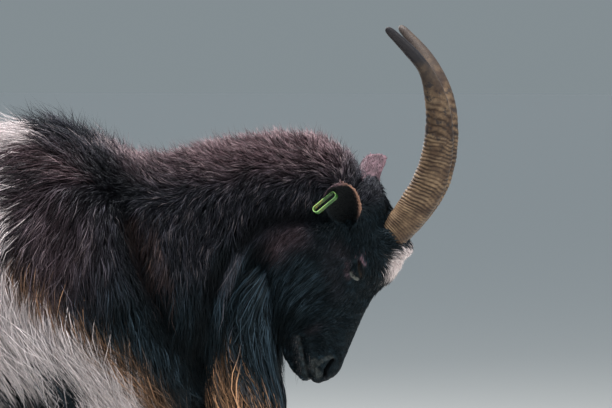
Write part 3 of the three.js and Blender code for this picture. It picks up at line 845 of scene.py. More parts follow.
def make_fine_relief():
    """Skin pores, horn fibres and the like: a height from two noises, stretched along Z if asked."""
    g = bpy.data.node_groups.new("fine_relief", "ShaderNodeTree")
    socket(g, "Scale", "NodeSocketFloat", value=300.0)
    socket(g, "Stretch", "NodeSocketFloat", value=1.0)
    socket(g, "Height", "NodeSocketFloat", into=False)
    i, o = g.nodes.new("NodeGroupInput").outputs, g.nodes.new("NodeGroupOutput").inputs
    coords = g.nodes.new("ShaderNodeTexCoord").outputs["Object"]
    joined = g.nodes.new("ShaderNodeCombineXYZ")
    joined.inputs[0].default_value = 1
    joined.inputs[1].default_value = 1
    g.links.new(i["Stretch"], joined.inputs[2])
    scaled = g.nodes.new("ShaderNodeVectorMath")
    scaled.operation = "MULTIPLY"
    g.links.new(coords, scaled.inputs[0])
    g.links.new(joined.outputs[0], scaled.inputs[1])
    coarse = g.nodes.new("ShaderNodeTexNoise")
    fine = g.nodes.new("ShaderNodeTexNoise")
    for n in (coarse, fine):
        g.links.new(scaled.outputs[0], n.inputs["Vector"])
        n.inputs["Detail"].default_value = 2
    g.links.new(i["Scale"], coarse.inputs["Scale"])
    g.links.new(math_node(g, "MULTIPLY", i["Scale"], 3.1), fine.inputs["Scale"])
    both = math_node(g, "ADD", coarse.outputs["Fac"], math_node(g, "MULTIPLY", fine.outputs["Fac"], 0.4))
    g.links.new(both, o["Height"])
    return g


COAT_COLOURS = make_coat_colours()
FINE_RELIEF = make_fine_relief()


def new_material(name, colour=(0.5, 0.5, 0.5), rough=0.5, **constants):
    """A material, its tree and its shader, with the shader's constants set on its own sockets."""
    m = bpy.data.materials.new(name)
    m.use_nodes = True
    shader = m.node_tree.nodes["Principled BSDF"]
    shader.inputs["Base Color"].default_value = colour + (1,)
    shader.inputs["Roughness"].default_value = rough
    for key, value in constants.items():
        shader.inputs[key.replace("_", " ")].default_value = value
    return m, m.node_tree, shader


def add_relief(tree, shader, scale, strength, distance, stretch=1.0):
    """Bump from the fine relief, as strong and as deep (in metres) as it says."""
    g = tree.nodes.new("ShaderNodeGroup")
    g.node_tree = FINE_RELIEF
    g.inputs["Scale"].default_value = scale
    g.inputs["Stretch"].default_value = stretch
    bump = tree.nodes.new("ShaderNodeBump")
    bump.inputs["Strength"].default_value = strength
    bump.inputs["Distance"].default_value = distance
    tree.links.new(g.outputs["Height"], bump.inputs["Height"])
    tree.links.new(bump.outputs[0], shader.inputs["Normal"])


def coat_group(tree, tip=None):
    """The coat's colours, fed by the numbers stored on the piece; tip may be one number for all."""
    g = tree.nodes.new("ShaderNodeGroup")
    g.node_tree = COAT_COLOURS
    for name in COAT_INPUTS:
        if name == "Tip" and tip is not None:
            g.inputs["Tip"].default_value = tip
        else:
            tree.links.new(attribute_node(tree, name.lower()), g.inputs[name])
    return g


def make_coat_material():
    """Glossy hair, the same on every tuft and strand."""
    m, tree, shader = new_material("goat_hair", Specular_IOR_Level=0.24)
    shader.inputs["Specular Tint"].default_value = (0.72, 0.87, 1, 1)
    g = coat_group(tree)
    tree.links.new(g.outputs["Color"], shader.inputs["Base Color"])
    tree.links.new(g.outputs["Roughness"], shader.inputs["Roughness"])
    return m


def make_skin_material():
    """Short close fur over the skin, bare and dark at the nose, the lids and inside the ears."""
    m, tree, shader = new_material("short_fur", Specular_IOR_Level=0.14)
    shader.inputs["Specular Tint"].default_value = (0.75, 0.88, 1, 1)
    g = coat_group(tree, tip=0.35)
    bare = attribute_node(tree, "bare")
    colour = mix_colour(tree, bare, g.outputs["Color"], (0.0030, 0.0038, 0.0044))
    colour = mix_colour(tree, attribute_node(tree, "inside"), colour, (0.0022, 0.0026, 0.0026))
    # The pad mask's pale grey: pebbled skin, and a painted highlight along the nostril's wing.
    grain = map_range(tree, noise_node(tree, 420, 3, 0.6), 0.35, 0.65, 0.25, 1.0)
    pad = math_node(tree, "MULTIPLY", attribute_node(tree, "pad"), grain)
    pad = math_node(tree, "MULTIPLY", pad, 0.45, clamp=True)
    colour = mix_colour(tree, pad, colour, (0.130, 0.134, 0.122))
    tree.links.new(colour, shader.inputs["Base Color"])
    tree.links.new(map_range(tree, bare, 0, 1, 0.66, 0.5), shader.inputs["Roughness"])
    add_relief(tree, shader, 620.0, 0.55, 0.0006)
    return m


def make_horn_material():
    """Yellow-brown sheath with grooves darkened by painted shade, worn streaks along it and blackened blotches.
    """
    m, tree, shader = new_material("horn_sheath", rough=0.5, Specular_IOR_Level=0.22)
    ring, dark = attribute_node(tree, "ring"), attribute_node(tree, "dark")
    patch = map_range(tree, noise_node(tree, 42, 4, 0.65), 0.38, 0.62)
    colour = mix_colour(tree, patch, (0.062, 0.036, 0.022), (0.245, 0.162, 0.094))
    fleck = map_range(tree, noise_node(tree, 190, 3, 0.7), 0.40, 0.62)
    colour = mix_colour(tree, math_node(tree, "MULTIPLY", fleck, 0.5), colour, (0.088, 0.052, 0.034))
    # Painted shade: the grooves between the rings are darkened.
    groove = map_range(tree, ring, 0.94, 0.40, 0.0, 0.90)
    colour = mix_colour(tree, groove, colour, (0.026, 0.0145, 0.0088))
    crown = map_range(tree, ring, 0.95, 1.15, 0.0, 0.35)
    colour = mix_colour(tree, crown, colour, (0.33, 0.25, 0.16))
    blot = map_range(tree, noise_node(tree, 75, 5, 0.7), 0.50, 0.60)
    blot = math_node(tree, "MULTIPLY", blot, attribute_node(tree, "stain"))
    colour = mix_colour(tree, math_node(tree, "MAXIMUM", blot, dark), colour, (0.018, 0.0175, 0.0215))
    tree.links.new(colour, shader.inputs["Base Color"])
    tree.links.new(map_range(tree, fleck, 0, 1, 0.42, 0.62), shader.inputs["Roughness"])
    add_relief(tree, shader, 420.0, 0.35, 0.0004, 0.35)
    return m


def make_hoof_material():
    """Dark dull horn of the claws."""
    m, tree, shader = new_material("hoof_horn", rough=0.5)
    patch = map_range(tree, noise_node(tree, 60, 3, 0.6), 0.35, 0.7)
    colour = mix_colour(tree, patch, (0.017, 0.013, 0.011), (0.062, 0.047, 0.036))
    tree.links.new(colour, shader.inputs["Base Color"])
    add_relief(tree, shader, 500.0, 0.6, 0.0005, 0.3)
    return m


def make_eye_material():
    """A dark amber iris with the goat's level slot of a pupil, under a wet clear coat."""
    m, tree, shader = new_material("eye_wet", rough=0.3, Specular_IOR_Level=0.08, Coat_Weight=0.12,
                                   Coat_Roughness=0.04)
    iris = map_range(tree, attribute_node(tree, "iris"), 0.35, 0.65)
    pupil = map_range(tree, attribute_node(tree, "pupil"), 0.35, 0.65)
    fleck = noise_node(tree, 900, 3, 0.6)
    amber = mix_colour(tree, fleck, (0.006, 0.0042, 0.0024), (0.015, 0.0098, 0.0052))
    colour = mix_colour(tree, iris, (0.012, 0.009, 0.008), amber)
    colour = mix_colour(tree, pupil, colour, (0.002, 0.002, 0.003))
    tree.links.new(colour, shader.inputs["Base Color"])
    return m


def make_tag_material():
    """Green plastic with grime in it, its rims pale as a painted highlight."""
    m, tree, shader = new_material("green_plastic", rough=0.42, Subsurface_Weight=0.1)
    grime = map_range(tree, noise_node(tree, 160, 4, 0.65), 0.45, 0.75)
    colour = mix_colour(tree, grime, (0.020, 0.096, 0.009), (0.011, 0.048, 0.006))
    # Painted highlight: pale green on the strap's rims.
    colour = mix_colour(tree, attribute_node(tree, "rim"), colour, (0.34, 0.62, 0.20))
    tree.links.new(colour, shader.inputs["Base Color"])
    tree.links.new(map_range(tree, grime, 0, 1, 0.36, 0.62), shader.inputs["Roughness"])
    add_relief(tree, shader, 900.0, 0.15, 0.0002)
    return m


MATERIALS = {
    "hair": make_coat_material(), "skin": make_skin_material(), "horn": make_horn_material(),
    "hoof": make_hoof_material(), "eye": make_eye_material(), "tag": make_tag_material(),
    "floor": new_material("pale_floor", (0.49, 0.485, 0.463), 0.85)[0],
}


def finish_piece(o, material, slot, *nodes):
    """Gives a piece its material, hangs it from the root, and hides the solids that it stands for."""
    o.data.materials.clear()
    o.data.materials.append(MATERIALS[material])
    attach(o, "root")
    if nodes:
        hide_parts(*nodes)


# ---- horns, eyes, hooves and the tag -----------------------------------------------------------
def make_ring_tree():
    """Geometry Nodes: raises growth rings on a horn whose points know how far along it they are."""
    g = bpy.data.node_groups.new("growth_rings", "GeometryNodeTree")
    g.is_modifier = True
    socket(g, "Geometry", "NodeSocketGeometry")
    for name, value in (("Spacing", 6.0), ("Height", 0.0009), ("Wander", 0.35), ("Seed", 3.0)):
        socket(g, name, "NodeSocketFloat", value=value)
    socket(g, "Material", "NodeSocketMaterial")
    socket(g, "Geometry", "NodeSocketGeometry", into=False)
    i, o = g.nodes.new("NodeGroupInput").outputs, g.nodes.new("NodeGroupOutput").inputs

    def named(name):
        """A number stored on the horn's points."""
        n = g.nodes.new("GeometryNodeInputNamedAttribute")
        n.inputs["Name"].default_value = name
        return n.outputs["Attribute"]

    mm, wear = named("mm"), named("wear")
    noise = g.nodes.new("ShaderNodeTexNoise")
    noise.noise_dimensions = "4D"
    noise.inputs["Scale"].default_value = 28
    g.links.new(i["Seed"], noise.inputs["W"])
    shift = math_node(g, "MULTIPLY", math_node(g, "SUBTRACT", noise.outputs["Fac"], 0.5), 40.0)
    shift = math_node(g, "MULTIPLY", shift, i["Wander"])
    phase = math_node(g, "DIVIDE", math_node(g, "ADD", mm, shift), i["Spacing"])
    crest = math_node(g, "ABSOLUTE", math_node(g, "SINE", math_node(g, "MULTIPLY", phase, math.pi)))
    crest = math_node(g, "POWER", crest, 0.7)
    big = math_node(g, "SINE", math_node(g, "MULTIPLY", phase, math.pi / 2.6))
    crest = math_node(g, "ADD", crest, math_node(g, "MULTIPLY", big, 0.14))
    rise = math_node(g, "MULTIPLY", math_node(g, "MULTIPLY", crest, wear), i["Height"])
    normal = g.nodes.new("GeometryNodeInputNormal").outputs[0]
    scaled = g.nodes.new("ShaderNodeVectorMath")
    scaled.operation = "SCALE"
    g.links.new(normal, scaled.inputs[0])
    g.links.new(rise, scaled.inputs["Scale"])
    store = g.nodes.new("GeometryNodeStoreNamedAttribute")
    store.inputs["Name"].default_value = "ring"
    g.links.new(i["Geometry"], store.inputs["Geometry"])
    smooth = math_node(g, "SUBTRACT", 1.0, wear)
    worn = math_node(g, "ADD", math_node(g, "MULTIPLY", crest, wear), smooth)
    g.links.new(worn, store.inputs["Value"])
    move = g.nodes.new("GeometryNodeSetPosition")
    g.links.new(store.outputs[0], move.inputs["Geometry"])
    g.links.new(scaled.outputs[0], move.inputs["Offset"])
    real = g.nodes.new("GeometryNodeRealizeInstances")
    g.links.new(move.outputs[0], real.inputs[0])
    paint = g.nodes.new("GeometryNodeSetMaterial")
    g.links.new(real.outputs[0], paint.inputs["Geometry"])
    g.links.new(i["Material"], paint.inputs["Material"])
    g.links.new(paint.outputs[0], o["Geometry"])
    return g


def make_horns():
    """Horn covers with growth rings, a keel in front, and tips worn smooth and dark."""
    tree = make_ring_tree()
    rings, turns = 440, 36
    t, turn = ring_places(rings, turns)
    for name, side in (("left", 1), ("right", -1)):
        base = 1 - 0.35 * smooth_step(0.115, 0.05, t)  # inside the skull
        p = loft_points(HORN, t, turn, base, side=side, square=2.15)
        keel = np.exp(-((np.mod(turn - 0.5 * side + math.pi, 2 * math.pi) - math.pi) / 0.5) ** 2)
        mid = (along(HORN["top"], t) + along(HORN["low"], t)) / 2
        step = np.linalg.norm(np.diff(mid[::turns], axis=0), axis=1)
        mm = np.repeat(np.concatenate([[0], np.cumsum(step)]), turns)
        total = mm.max()
        far = mm / total
        phase = np.interp(mm, [0, 90, 190, total], [0, 150, 262, 360])  # rings crowd at the base
        phase = phase + (4.5 + 2.0 * wobble(p, 50)) * keel + 1.6 * wobble(p, 15)
        o = closed_grid("horn_form", p, rings, turns)
        wear = smooth_step(0.82, 0.50, far) * np.clip(0.85 + 0.45 * wobble(p, 22, 3.0), 0.3, 1.2)
        black = smooth_step(0.60, 0.86, far + 0.06 * wobble(p, 20)) * (1.0 if side < 0 else 0.78)
        stain = smooth_step(0.30, 0.62, far) * (0.9 if side < 0 else 0.75)
        dark = np.maximum(0.35 * keel * (1 - far), 0.97 * black)
        facts = {"mm": phase, "wear": wear, "dark": dark, "stain": stain}
        for key, value in facts.items():
            attribute(o.data, key, np.append(value, value[[0, len(mm) - 1]]))
        inputs = {"Spacing": 6.0, "Height": 0.0013, "Wander": 0.12, "Seed": 3.0 + side,
                  "Material": MATERIALS["horn"]}
        o = run_tree(o, tree, inputs, "horn_cover_" + name)
        finish_piece(o, "horn", "horn", "horn_" + name)


def make_eyes():
    """Each eyeball, its iris facing out through the slit, its pupil a level slot."""
    for name, side in (("left", 1), ("right", -1)):
        centre, out, level = eye_frame(side)
        over = np.cross(out, level)
        rings, turns = 60, 72
        a, turn = ring_places(rings, turns)
        a = a * math.pi
        reach = EYE_RADIUS * np.sin(a)
        p = centre + (out * (EYE_RADIUS * np.cos(a))[:, None] + level * (reach * np.cos(turn))[:, None]
                      + over * (reach * np.sin(turn))[:, None])
        o = closed_grid("eyeball_" + name, p, rings, turns)
        q = to_plan(positions(o.data)) - centre
        flat = np.hypot(q @ level, q @ over)
        front = (q @ out > 0).astype(float)
        attribute(o.data, "iris", front * smooth_step(8.2, 7.2, flat))
        from_slot = np.hypot(np.maximum(np.abs(q @ level) - 3.4, 0), q @ over)
        attribute(o.data, "pupil", front * smooth_step(2.3, 1.6, from_slot))
        finish_piece(o, "eye", "eye", "eye_" + name)


def make_hooves():
    """Claws with growth lines and a rounded ground edge, and the dewclaws above them."""
    rings, turns = 30, 36
    t, turn = ring_places(rings, turns)
    for leg in ("foreleg", "hindleg"):
        for side in ("left", "right"):
            for place in ("inner", "outer"):
                node = f"{leg}_{side}_hoof_{place}"
                lo, hi = plan_box(node)
                offset = (hi[0] - 42, (lo[1] + hi[1]) / 2)
                swell = 0.35 * np.sin(t * 34 + 0.6 * np.cos(turn)) * smooth_step(0, 0.15, t)
                edge = np.where(t < 0.01, 0.955, np.where(t < 0.04, 0.99, 1.0))
                p = loft_points(CLAW, t, turn, edge + swell / 22, offset=offset, square=2.6)
                o = closed_grid(node + "_horn", p, rings, turns)
                finish_piece(o, "hoof", "hoof", node)
                make_dewclaw(f"{leg}_{side}_dewclaw_{place}")


def make_dewclaw(node):
    """A small pointed claw that leans back."""
    lo, hi = plan_box(node)
    centre = (lo + hi) / 2
    rings, turns = 16, 20
    t, turn = ring_places(rings, turns, ends=0.5)
    axis = np.array([math.sin(0.5), 0, math.cos(0.5)])
    front = np.array([math.cos(0.5), 0, -math.sin(0.5)])
    radius = 7.8 * np.sqrt(np.clip(t, 0, 1)) * np.sqrt(np.clip((1 - t) / 0.12, 0, 1))
    p = (centre + axis * ((t - 0.5) * 21)[:, None] + front * (radius * np.cos(turn))[:, None]
         + np.array([0, 1, 0]) * (radius * 0.8 * np.sin(turn))[:, None])
    o = closed_grid(node + "_horn", p, rings, turns)
    finish_piece(o, "hoof", "hoof", node)


def loop_path(long, radius, count):
    """Points and headings round a loop of two half circles joined by straights."""
    bend = math.pi * radius
    length = np.arange(count) / count * (2 * long + 2 * bend)
    parts = [length < bend, length < bend + long, length < 2 * bend + long]
    turned = [length / radius - math.pi / 2, (length - bend - long) / radius + math.pi / 2]
    x = np.select(parts, [radius * np.cos(turned[0]), bend - length, -long + radius * np.cos(turned[1])],
                  length - 2 * (bend + long))
    y = np.select(parts, [radius * np.sin(turned[0]), radius, radius * np.sin(turned[1])], -radius)
    ahead = unit(np.stack([np.roll(x, -1) - np.roll(x, 1), np.roll(y, -1) - np.roll(y, 1)], 1))
    return x, y, ahead


def make_tag():
    """A narrow strap bent into a long loop, its rims marked for a painted highlight."""
    long, wide, gauge, deep = 28.0, 10.8, 1.3, 7.6
    centre = np.array([470.0, -136, 686.6])
    u, v, w = np.array([[0.765, 0, 0.644], [-0.566, 0.479, 0.672], [-0.309, -0.878, 0.366]])
    rings, turns = 96, 16
    x, y, ahead = loop_path(long, wide / 2 - gauge / 2, rings)
    turn = 2 * math.pi * (np.arange(turns) + 0.5) / turns
    c = np.sign(np.cos(turn)) * np.abs(np.cos(turn)) ** 0.35 * gauge / 2
    s = np.sign(np.sin(turn)) * np.abs(np.sin(turn)) ** 0.35 * deep / 2
    px = x[:, None] + ahead[:, 1:] * c
    py = y[:, None] - ahead[:, :1] * c
    p = (centre + px[..., None] * u + py[..., None] * v + s[None, :, None] * w).reshape(-1, 3)
    i, j = np.meshgrid(np.arange(rings), np.arange(turns), indexing="ij")
    here, on, beside = i * turns, ((i + 1) % rings) * turns, (j + 1) % turns
    quads = np.stack([here + j, on + j, on + beside, here + beside], -1).reshape(-1, 4)
    o = mesh_object("tag_loop", to_row(p), quads)
    # The rims, where the painted highlight goes.
    attribute(o.data, "rim", np.tile(smooth_step(0.93, 1.0, np.abs(s) / (deep / 2)), rings))
    bm = bmesh.new()
    bm.from_mesh(o.data)
    bmesh.ops.recalc_face_normals(bm, faces=bm.faces)
    bm.to_mesh(o.data)
    bm.free()
    finish_piece(o, "tag", "tag", "ear_tag")


# ---- the coat ----------------------------------------------------------------------------------
ROOT_DEPTH = 0.6  # how far under the skin a hair starts
TUFT_FLATNESS = 0.42
PATCH = 0.003  # the width of each tuft's patch on the map
LOWER_LID = [(487, 578.5), (488.5, 574.5), (492, 571.5), (495, 570)]


class Hide:
    """The skin as arrays on the plan, with a quick way to find its nearest point."""

    def __init__(self, o):
        me = o.data
        me.calc_loop_triangles()
        self.p = to_plan(positions(me))
        self.n = normals(me)
        t = np.empty(len(me.loop_triangles) * 3, dtype=np.int32)
        me.loop_triangles.foreach_get("vertices", t)
        self.tris = t.reshape(-1, 3)
        loops = np.empty(len(me.loop_triangles) * 3, dtype=np.int32)
        me.loop_triangles.foreach_get("loops", loops)
        uv = np.empty(len(me.loops) * 2, dtype=np.float32)
        me.uv_layers["OFBake"].uv.foreach_get("vector", uv)
        self.uv = uv.reshape(-1, 2)[loops.reshape(-1, 3)]
        a, b, c = (self.p[self.tris[:, k]] for k in range(3))
        facing = np.cross(b - a, c - a)
        self.area = np.linalg.norm(facing, axis=1) / 2
        self.facing = unit(facing)
        self.mid = (a + b + c) / 3
        self.tree = BVHTree.FromPolygons([Vector(v) for v in self.p], self.tris.tolist())

    def scatter(self, weight, count):
        """Roots spread evenly over the triangles by weight: points, normals and places on the map."""
        w = self.area * weight
        total = np.cumsum(w)
        u = (np.arange(count) + RNG.random(count)) / count * total[-1]
        k = np.minimum(np.searchsorted(total, u), len(w) - 1)
        r1, r2 = RNG.random(count), RNG.random(count)
        flip = r1 + r2 > 1
        r1, r2 = np.where(flip, 1 - r1, r1), np.where(flip, 1 - r2, r2)
        bary = np.stack([1 - r1 - r2, r1, r2], 1)
        p = np.einsum("nk,nkd->nd", bary, self.p[self.tris[k]])
        n = np.einsum("nk,nkd->nd", bary, self.n[self.tris[k]])
        uv = np.einsum("nk,nkd->nd", bary, self.uv[k])
        return p, unit(n), uv

    def nearest(self, p):
        """The nearest points of the skin and its normals there."""
        found, facing = np.empty_like(p), np.empty_like(p)
        for i, q in enumerate(p.tolist()):
            found[i], facing[i] = self.tree.find_nearest(q)[:2]
        return found, facing


def tree_of(points):
    """A quick way to find the nearest of some points."""
    tree = KDTree(len(points))
    for i, q in enumerate(points.tolist()):
        tree.insert(q, i)
    tree.balance()
    return tree


def comb(hide, roots, nrm, style):
    """Lays each hair along the skin from its root. Gives the points of every hair, root to tip."""
    count, steps = len(roots), style["steps"]
    lay = style.get("rows", coat_at)
    rows = lay(roots)
    jitter = RNG.normal(size=(count, 3))
    length = rows[:, 2] * style["length"] * np.clip(1 + 0.22 * jitter[:, 0], 0.5, 1.6)
    length = length * (1 - 0.5 * parting_and_shade(roots)) * (1 - 0.62 * near_eye(roots))
    full = np.clip(0.86 + 0.2 * jitter[:, 1], 0.4, 1.3) * rows[:, 3] * style.get("stand", 1.0)
    lift = np.clip(rows[:, 4] * (1 + 0.25 * jitter[:, 2]) + style["fluff"], 0.04, 1.0)
    hang = rows[:, 5]
    swirl = 0.30 * wobble(roots, 34) + 0.16 * wobble(roots, 13, 4.0)
    turn = swirl * style["stray"] + RNG.normal(size=count) * 0.16 * style["stray"]
    path = np.empty((steps + 1, count, 3))
    path[0] = roots - nrm * ROOT_DEPTH
    at, n = roots.copy(), nrm.copy()
    pieces = length / steps
    for k in range(1, steps + 1):
        s = k / steps
        rows = lay(at)
        lie = np.stack([rows[:, 0], np.zeros(count), rows[:, 1]], 1)
        back = smooth_step(0.35, 0.9, n[:, 2]) * smooth_step(560, 480, at[:, 0])
        lie[:, 1] += np.sign(at[:, 1]) * back * style["part"]
        if "direction" in style:
            lie = style["direction"](at)
        lie = unit(lie - n * (lie * n).sum(1)[:, None])
        lie = unit(lie + np.cross(n, lie) * np.tan(turn)[:, None])
        rise = np.sin(lift * 1.45) * (1 - s * (1 - lift) * 0.9)
        go = lie * np.sqrt(np.maximum(1 - rise ** 2, 0.02))[:, None] + n * rise[:, None]
        fall = (hang * s)[:, None]
        go = unit(go * (1 - 0.8 * fall) + np.array([0, 0, -1.0]) * fall)
        ahead = at + go * pieces[:, None]
        q, qn = hide.nearest(ahead)
        across = (qn * n).sum(1) < -0.2  # the nearest skin is on the other side of a thin part
        qn[across] = n[across]
        gap = ((ahead - q) * qn).sum(1)
        least, most = full * (0.2 + 0.4 * s), full * (0.35 + 0.75 * s)
        raise_by = np.where(gap < least, least - gap, 0)
        lower_by = np.where(gap > most, (gap - most) * (1 - hang * s) * 0.9, 0)
        at = ahead + qn * (raise_by - lower_by)[:, None]
        n = unit(qn + n * 0.3)
        path[k] = at
    return path, length


def near_eye(p):
    """How close points are to an eye's lids, from 0 to 1; hair is trimmed short there."""
    lids = [(496, 600), (499, 583), (496, 570), (486, 576)]
    return np.exp(-(side_distance(p, lids) / 10.0) ** 2) * (np.abs(p[:, 1]) > 34)


def clumped(path, style):
    """Draws the hairs' tips together into locks, each round a leader."""
    steps, count = path.shape[0] - 1, path.shape[1]
    leaders = RNG.permutation(count)[::style["lock"]]
    tree = tree_of(path[1, leaders])
    mine = np.array([tree.find(q)[1] for q in path[1].tolist()])
    lead = path[:, leaders[mine]]
    near = np.linalg.norm(lead[0] - path[0], axis=1)
    hold = style["clump"] * smooth_step(style["lock_reach"] * 1.6, style["lock_reach"] * 0.6, near)
    phase = (mine * 2.399) % (2 * math.pi)  # a different wave in each lock
    out = path.copy()
    for k in range(1, steps + 1):
        s = k / steps
        out[k] = path[k] + (lead[k] - path[k]) * (hold * s ** 1.2)[:, None]
    heading = unit(out[steps] - out[0])
    side = unit(np.cross(heading, np.array([0.31, 0.9, 0.12])))
    size = np.linalg.norm(out[steps] - out[0], axis=1)
    for k in range(1, steps + 1):
        s = k / steps
        bend = np.sin(phase + s * style["waves"] * 2 * math.pi) * s * size * style["curl"]
        out[k] += side * bend[:, None]
    tone = 0.5 * RNG.random(len(leaders))[mine] + 0.5 * RNG.random(count)
    return out, tone


def build_tufts(path, width):
    """Closed three-sided spikes along the paths: vertices, triangles, and s and across per vertex."""
    steps, count = path.shape[0] - 1, path.shape[1]
    heading = np.empty_like(path)
    heading[0] = path[1] - path[0]
    heading[steps] = path[steps] - path[steps - 1]
    for k in range(1, steps):
        heading[k] = path[k + 1] - path[k - 1]
    away = unit(RNG.normal(size=(count, 3)))
    rings = steps * 3
    v = np.empty((count, rings + 1, 3))
    s = np.empty(rings + 1)
    across = np.empty(rings + 1)
    profile = np.interp(np.arange(steps) / steps, [0, 0.35, 0.7, 1.0], [0.7, 1.0, 0.8, 0.35])
    for k in range(steps):
        h = unit(heading[k])
        side = unit(np.cross(h, away))
        up = np.cross(side, h)
        w = (width * profile[k])[:, None]
        for j, (x, y) in enumerate(((-0.5, -0.3), (0.5, -0.3), (0.0, 0.7))):
            v[:, k * 3 + j] = path[k] + side * (w * x) + up * (w * y * TUFT_FLATNESS * 1.4)
            s[k * 3 + j] = k / steps
            across[k * 3 + j] = (0.2, 0.8, 0.5)[j]
    v[:, rings] = path[steps]
    s[rings], across[rings] = 1, 0.5
    tris = [(0, 1, 2)]
    for k in range(steps - 1):
        for j in range(3):
            a, b = k * 3 + j, k * 3 + (j + 1) % 3
            tris += [(b, a, a + 3), (b, a + 3, b + 3)]
    top = (steps - 1) * 3
    tris += [(top + (j + 1) % 3, top + j, rings) for j in range(3)]
    tris = np.array(tris)
    every = (np.arange(count) * (rings + 1))[:, None, None] + tris[None]
    return v.reshape(-1, 3), every.reshape(-1, 3), s, across


def coat_piece(name, path, uv, width, marks, tone, slot, *nodes, tan_where=None):
    """One joined mesh of tufts with its map, its marks and its material."""
    v, tris, s, across = build_tufts(path, width)
    per, count = len(s), path.shape[1]
    late = RNG.normal(size=count) * 20 + 10
    o = mesh_object(name, to_row(v), tris)
    me = o.data
    u = np.stack([np.tile(across - 0.5, count), np.tile(s - 0.5, count)], 1) * PATCH
    u += np.repeat(uv, per, axis=0)
    layer = me.uv_layers.new(name="OFBake")
    layer.uv.foreach_set("vector", np.ascontiguousarray(u[tris.ravel()], dtype=np.float32).ravel())
    for k, key in enumerate(MARKS):
        value = np.repeat(marks[:, k], per)
        if key == "tan" and tan_where is not None:
            value = value * tan_where(v, np.repeat(late, per))
        attribute(me, key, value)
    attribute(me, "tone", np.repeat(tone, per))
    attribute(me, "tip", np.tile(s, count))
    finish_piece(o, "hair", slot, *nodes)


def ear_part(p):
    """For each point on an ear: nearness to its edge, 1 inside the cup, and place along; else -1."""
    out = np.full((len(p), 3), -1.0)
    for leaf, facts in EAR_LEAF.values():
        tree = tree_of(leaf)
        for i in np.flatnonzero(np.linalg.norm(p - leaf.mean(0), axis=1) < 90).tolist():
            _, k, dist = tree.find(p[i].tolist())
            if dist < 3.5 and facts[k, 2] > 0.1:
                out[i] = facts[k]
    return out


def regions(p):
    """Which part of the coat a point belongs to."""
    x, y, z = p[:, 0], p[:, 1], p[:, 2]
    name = np.full(len(p), "flank", dtype=object)
    name[(x > -70) & (z > 330)] = "shoulder"
    name[x > 236 + (z - 340) * -0.2] = "neck"
    name[(x < -538) & (z > 570)] = "tail"
    name[z < 330] = "leg"
    name[(z < 400) & (np.abs(y) < 112) & (x < -380)] = "leg"
    q = slanted(p)
    under = q[:, 2] < np.interp(q[:, 0], [337, 349, 363, 377, 411, 446, 475, 520],
                                [600, 626, 638, 644, 646, 650, 672, 705])
    name[head_zone(p) & under] = "head"
    name[head_zone(p) & ~under] = "neck"
    name[(x > 478) & (z > 660) & (np.abs(y) < 60)] = "head"
    name[ear_part(p)[:, 0] >= 0] = "ear"
    return name


def bare_mask(p):
    """Bare skin: in the eye slits and on their rims, in the nostrils, and between the lips."""
    bare = np.zeros(len(p))
    for side in (-1, 1):
        centre, out, level = eye_frame(side)
        q = p - centre
        r = np.hypot(q @ level, (q @ np.cross(out, level) + 0.6) * 2.3)
        bare = np.maximum(bare, smooth_step(14.5, 11.0, r) * (q @ out > -4))
    bare = np.maximum(bare, smooth_step(5, 2.5, side_distance(p, NOSTRIL)))
    return np.maximum(bare, smooth_step(3.5, 1.5, side_distance(p, MOUTH)))


def pad_mask(p):
    """The grey, pebbled skin behind the nostril's wing, a painted highlight along the wing, and the pale lower
    lip and lower lid.
    """
    pad = smooth_step(8, 4, side_distance(p, [(434, 453), (430, 446), (438, 437)]))
    # Painted highlight along the nostril's wing.
    pad = np.maximum(pad, smooth_step(4, 1.5, side_distance(p, [(457, 461), (447, 458), (440, 452)])))
    lip = 0.75 * smooth_step(5.5, 2.5, side_distance(p, [(413, 489), (415, 462), (420, 436)]))
    crescent = side_distance(p, LOWER_LID)
    crescent = 7.0 * smooth_step(2.9, 1.4, crescent) * (np.abs(p[:, 1]) > 40)
    return np.maximum(np.maximum(pad * 1.15, lip * 0.7) * (0.7 + 0.6 * wobble(p, 2.2)), crescent)


def ear_marks(p):
    """Pink-brown on the ears' edges and all over the left one; how far inside the right cup; and the right
    ear's front edge, tan with a painted highlight.
    """
    ear = ear_part(p)
    on = ear[:, 0] >= 0
    far = on & (p[:, 1] > 0)
    root = EARS["right"][0]
    lower = (p[:, 0] - root[0]) * 0.7 + (p[:, 2] - root[2])
    front = smooth_step(470, 492, p[:, 0])
    rim = smooth_step(0.84 - 0.16 * front, 0.97 - 0.06 * front, ear[:, 0]) * on * smooth_step(12, 34, lower)
    # The front edge is stronger: tan, with a painted highlight where the light falls on it.
    rim = rim * (0.55 + 0.45 * front)
    rim = np.where(far, 0.55 + 0.35 * smooth_step(0.88, 0.98, ear[:, 0]), rim)
    inside = (ear[:, 1] > 0.5) * on * smooth_step(0.96, 0.8, ear[:, 0]) * ~far
    return rim, inside, rim * ~far * front


def add_ears(marks, rim, tan_and_highlight):
    """Adds the ears' pink-brown, and the tan of the right ear's front edge with its painted highlight, to the
    markings.
    """
    marks[:, 4] = np.maximum(marks[:, 4], rim * (1 - 0.7 * tan_and_highlight))
    marks[:, 1] = np.maximum(marks[:, 1], tan_and_highlight)


def paint_skin(o):
    """Stores the markings, the shade and the bare places on the skin."""
    me = o.data
    p = to_plan(positions(me))
    marks = markings(p)
    rim, inside, tan_and_highlight = ear_marks(p)
    add_ears(marks, rim, tan_and_highlight)
    for k, key in enumerate(MARKS):
        attribute(me, key, marks[:, k])
    # The same painted shade and highlights as on the hair, and the painted highlight of the right ear's front
    # edge.
    attribute(me, "tone", np.maximum(shaded(0.5 + 0.3 * wobble(p, 7), p), 0.7 * tan_and_highlight))
    attribute(me, "bare", bare_mask(p))
    attribute(me, "pad", pad_mask(p))
    attribute(me, "inside", inside)


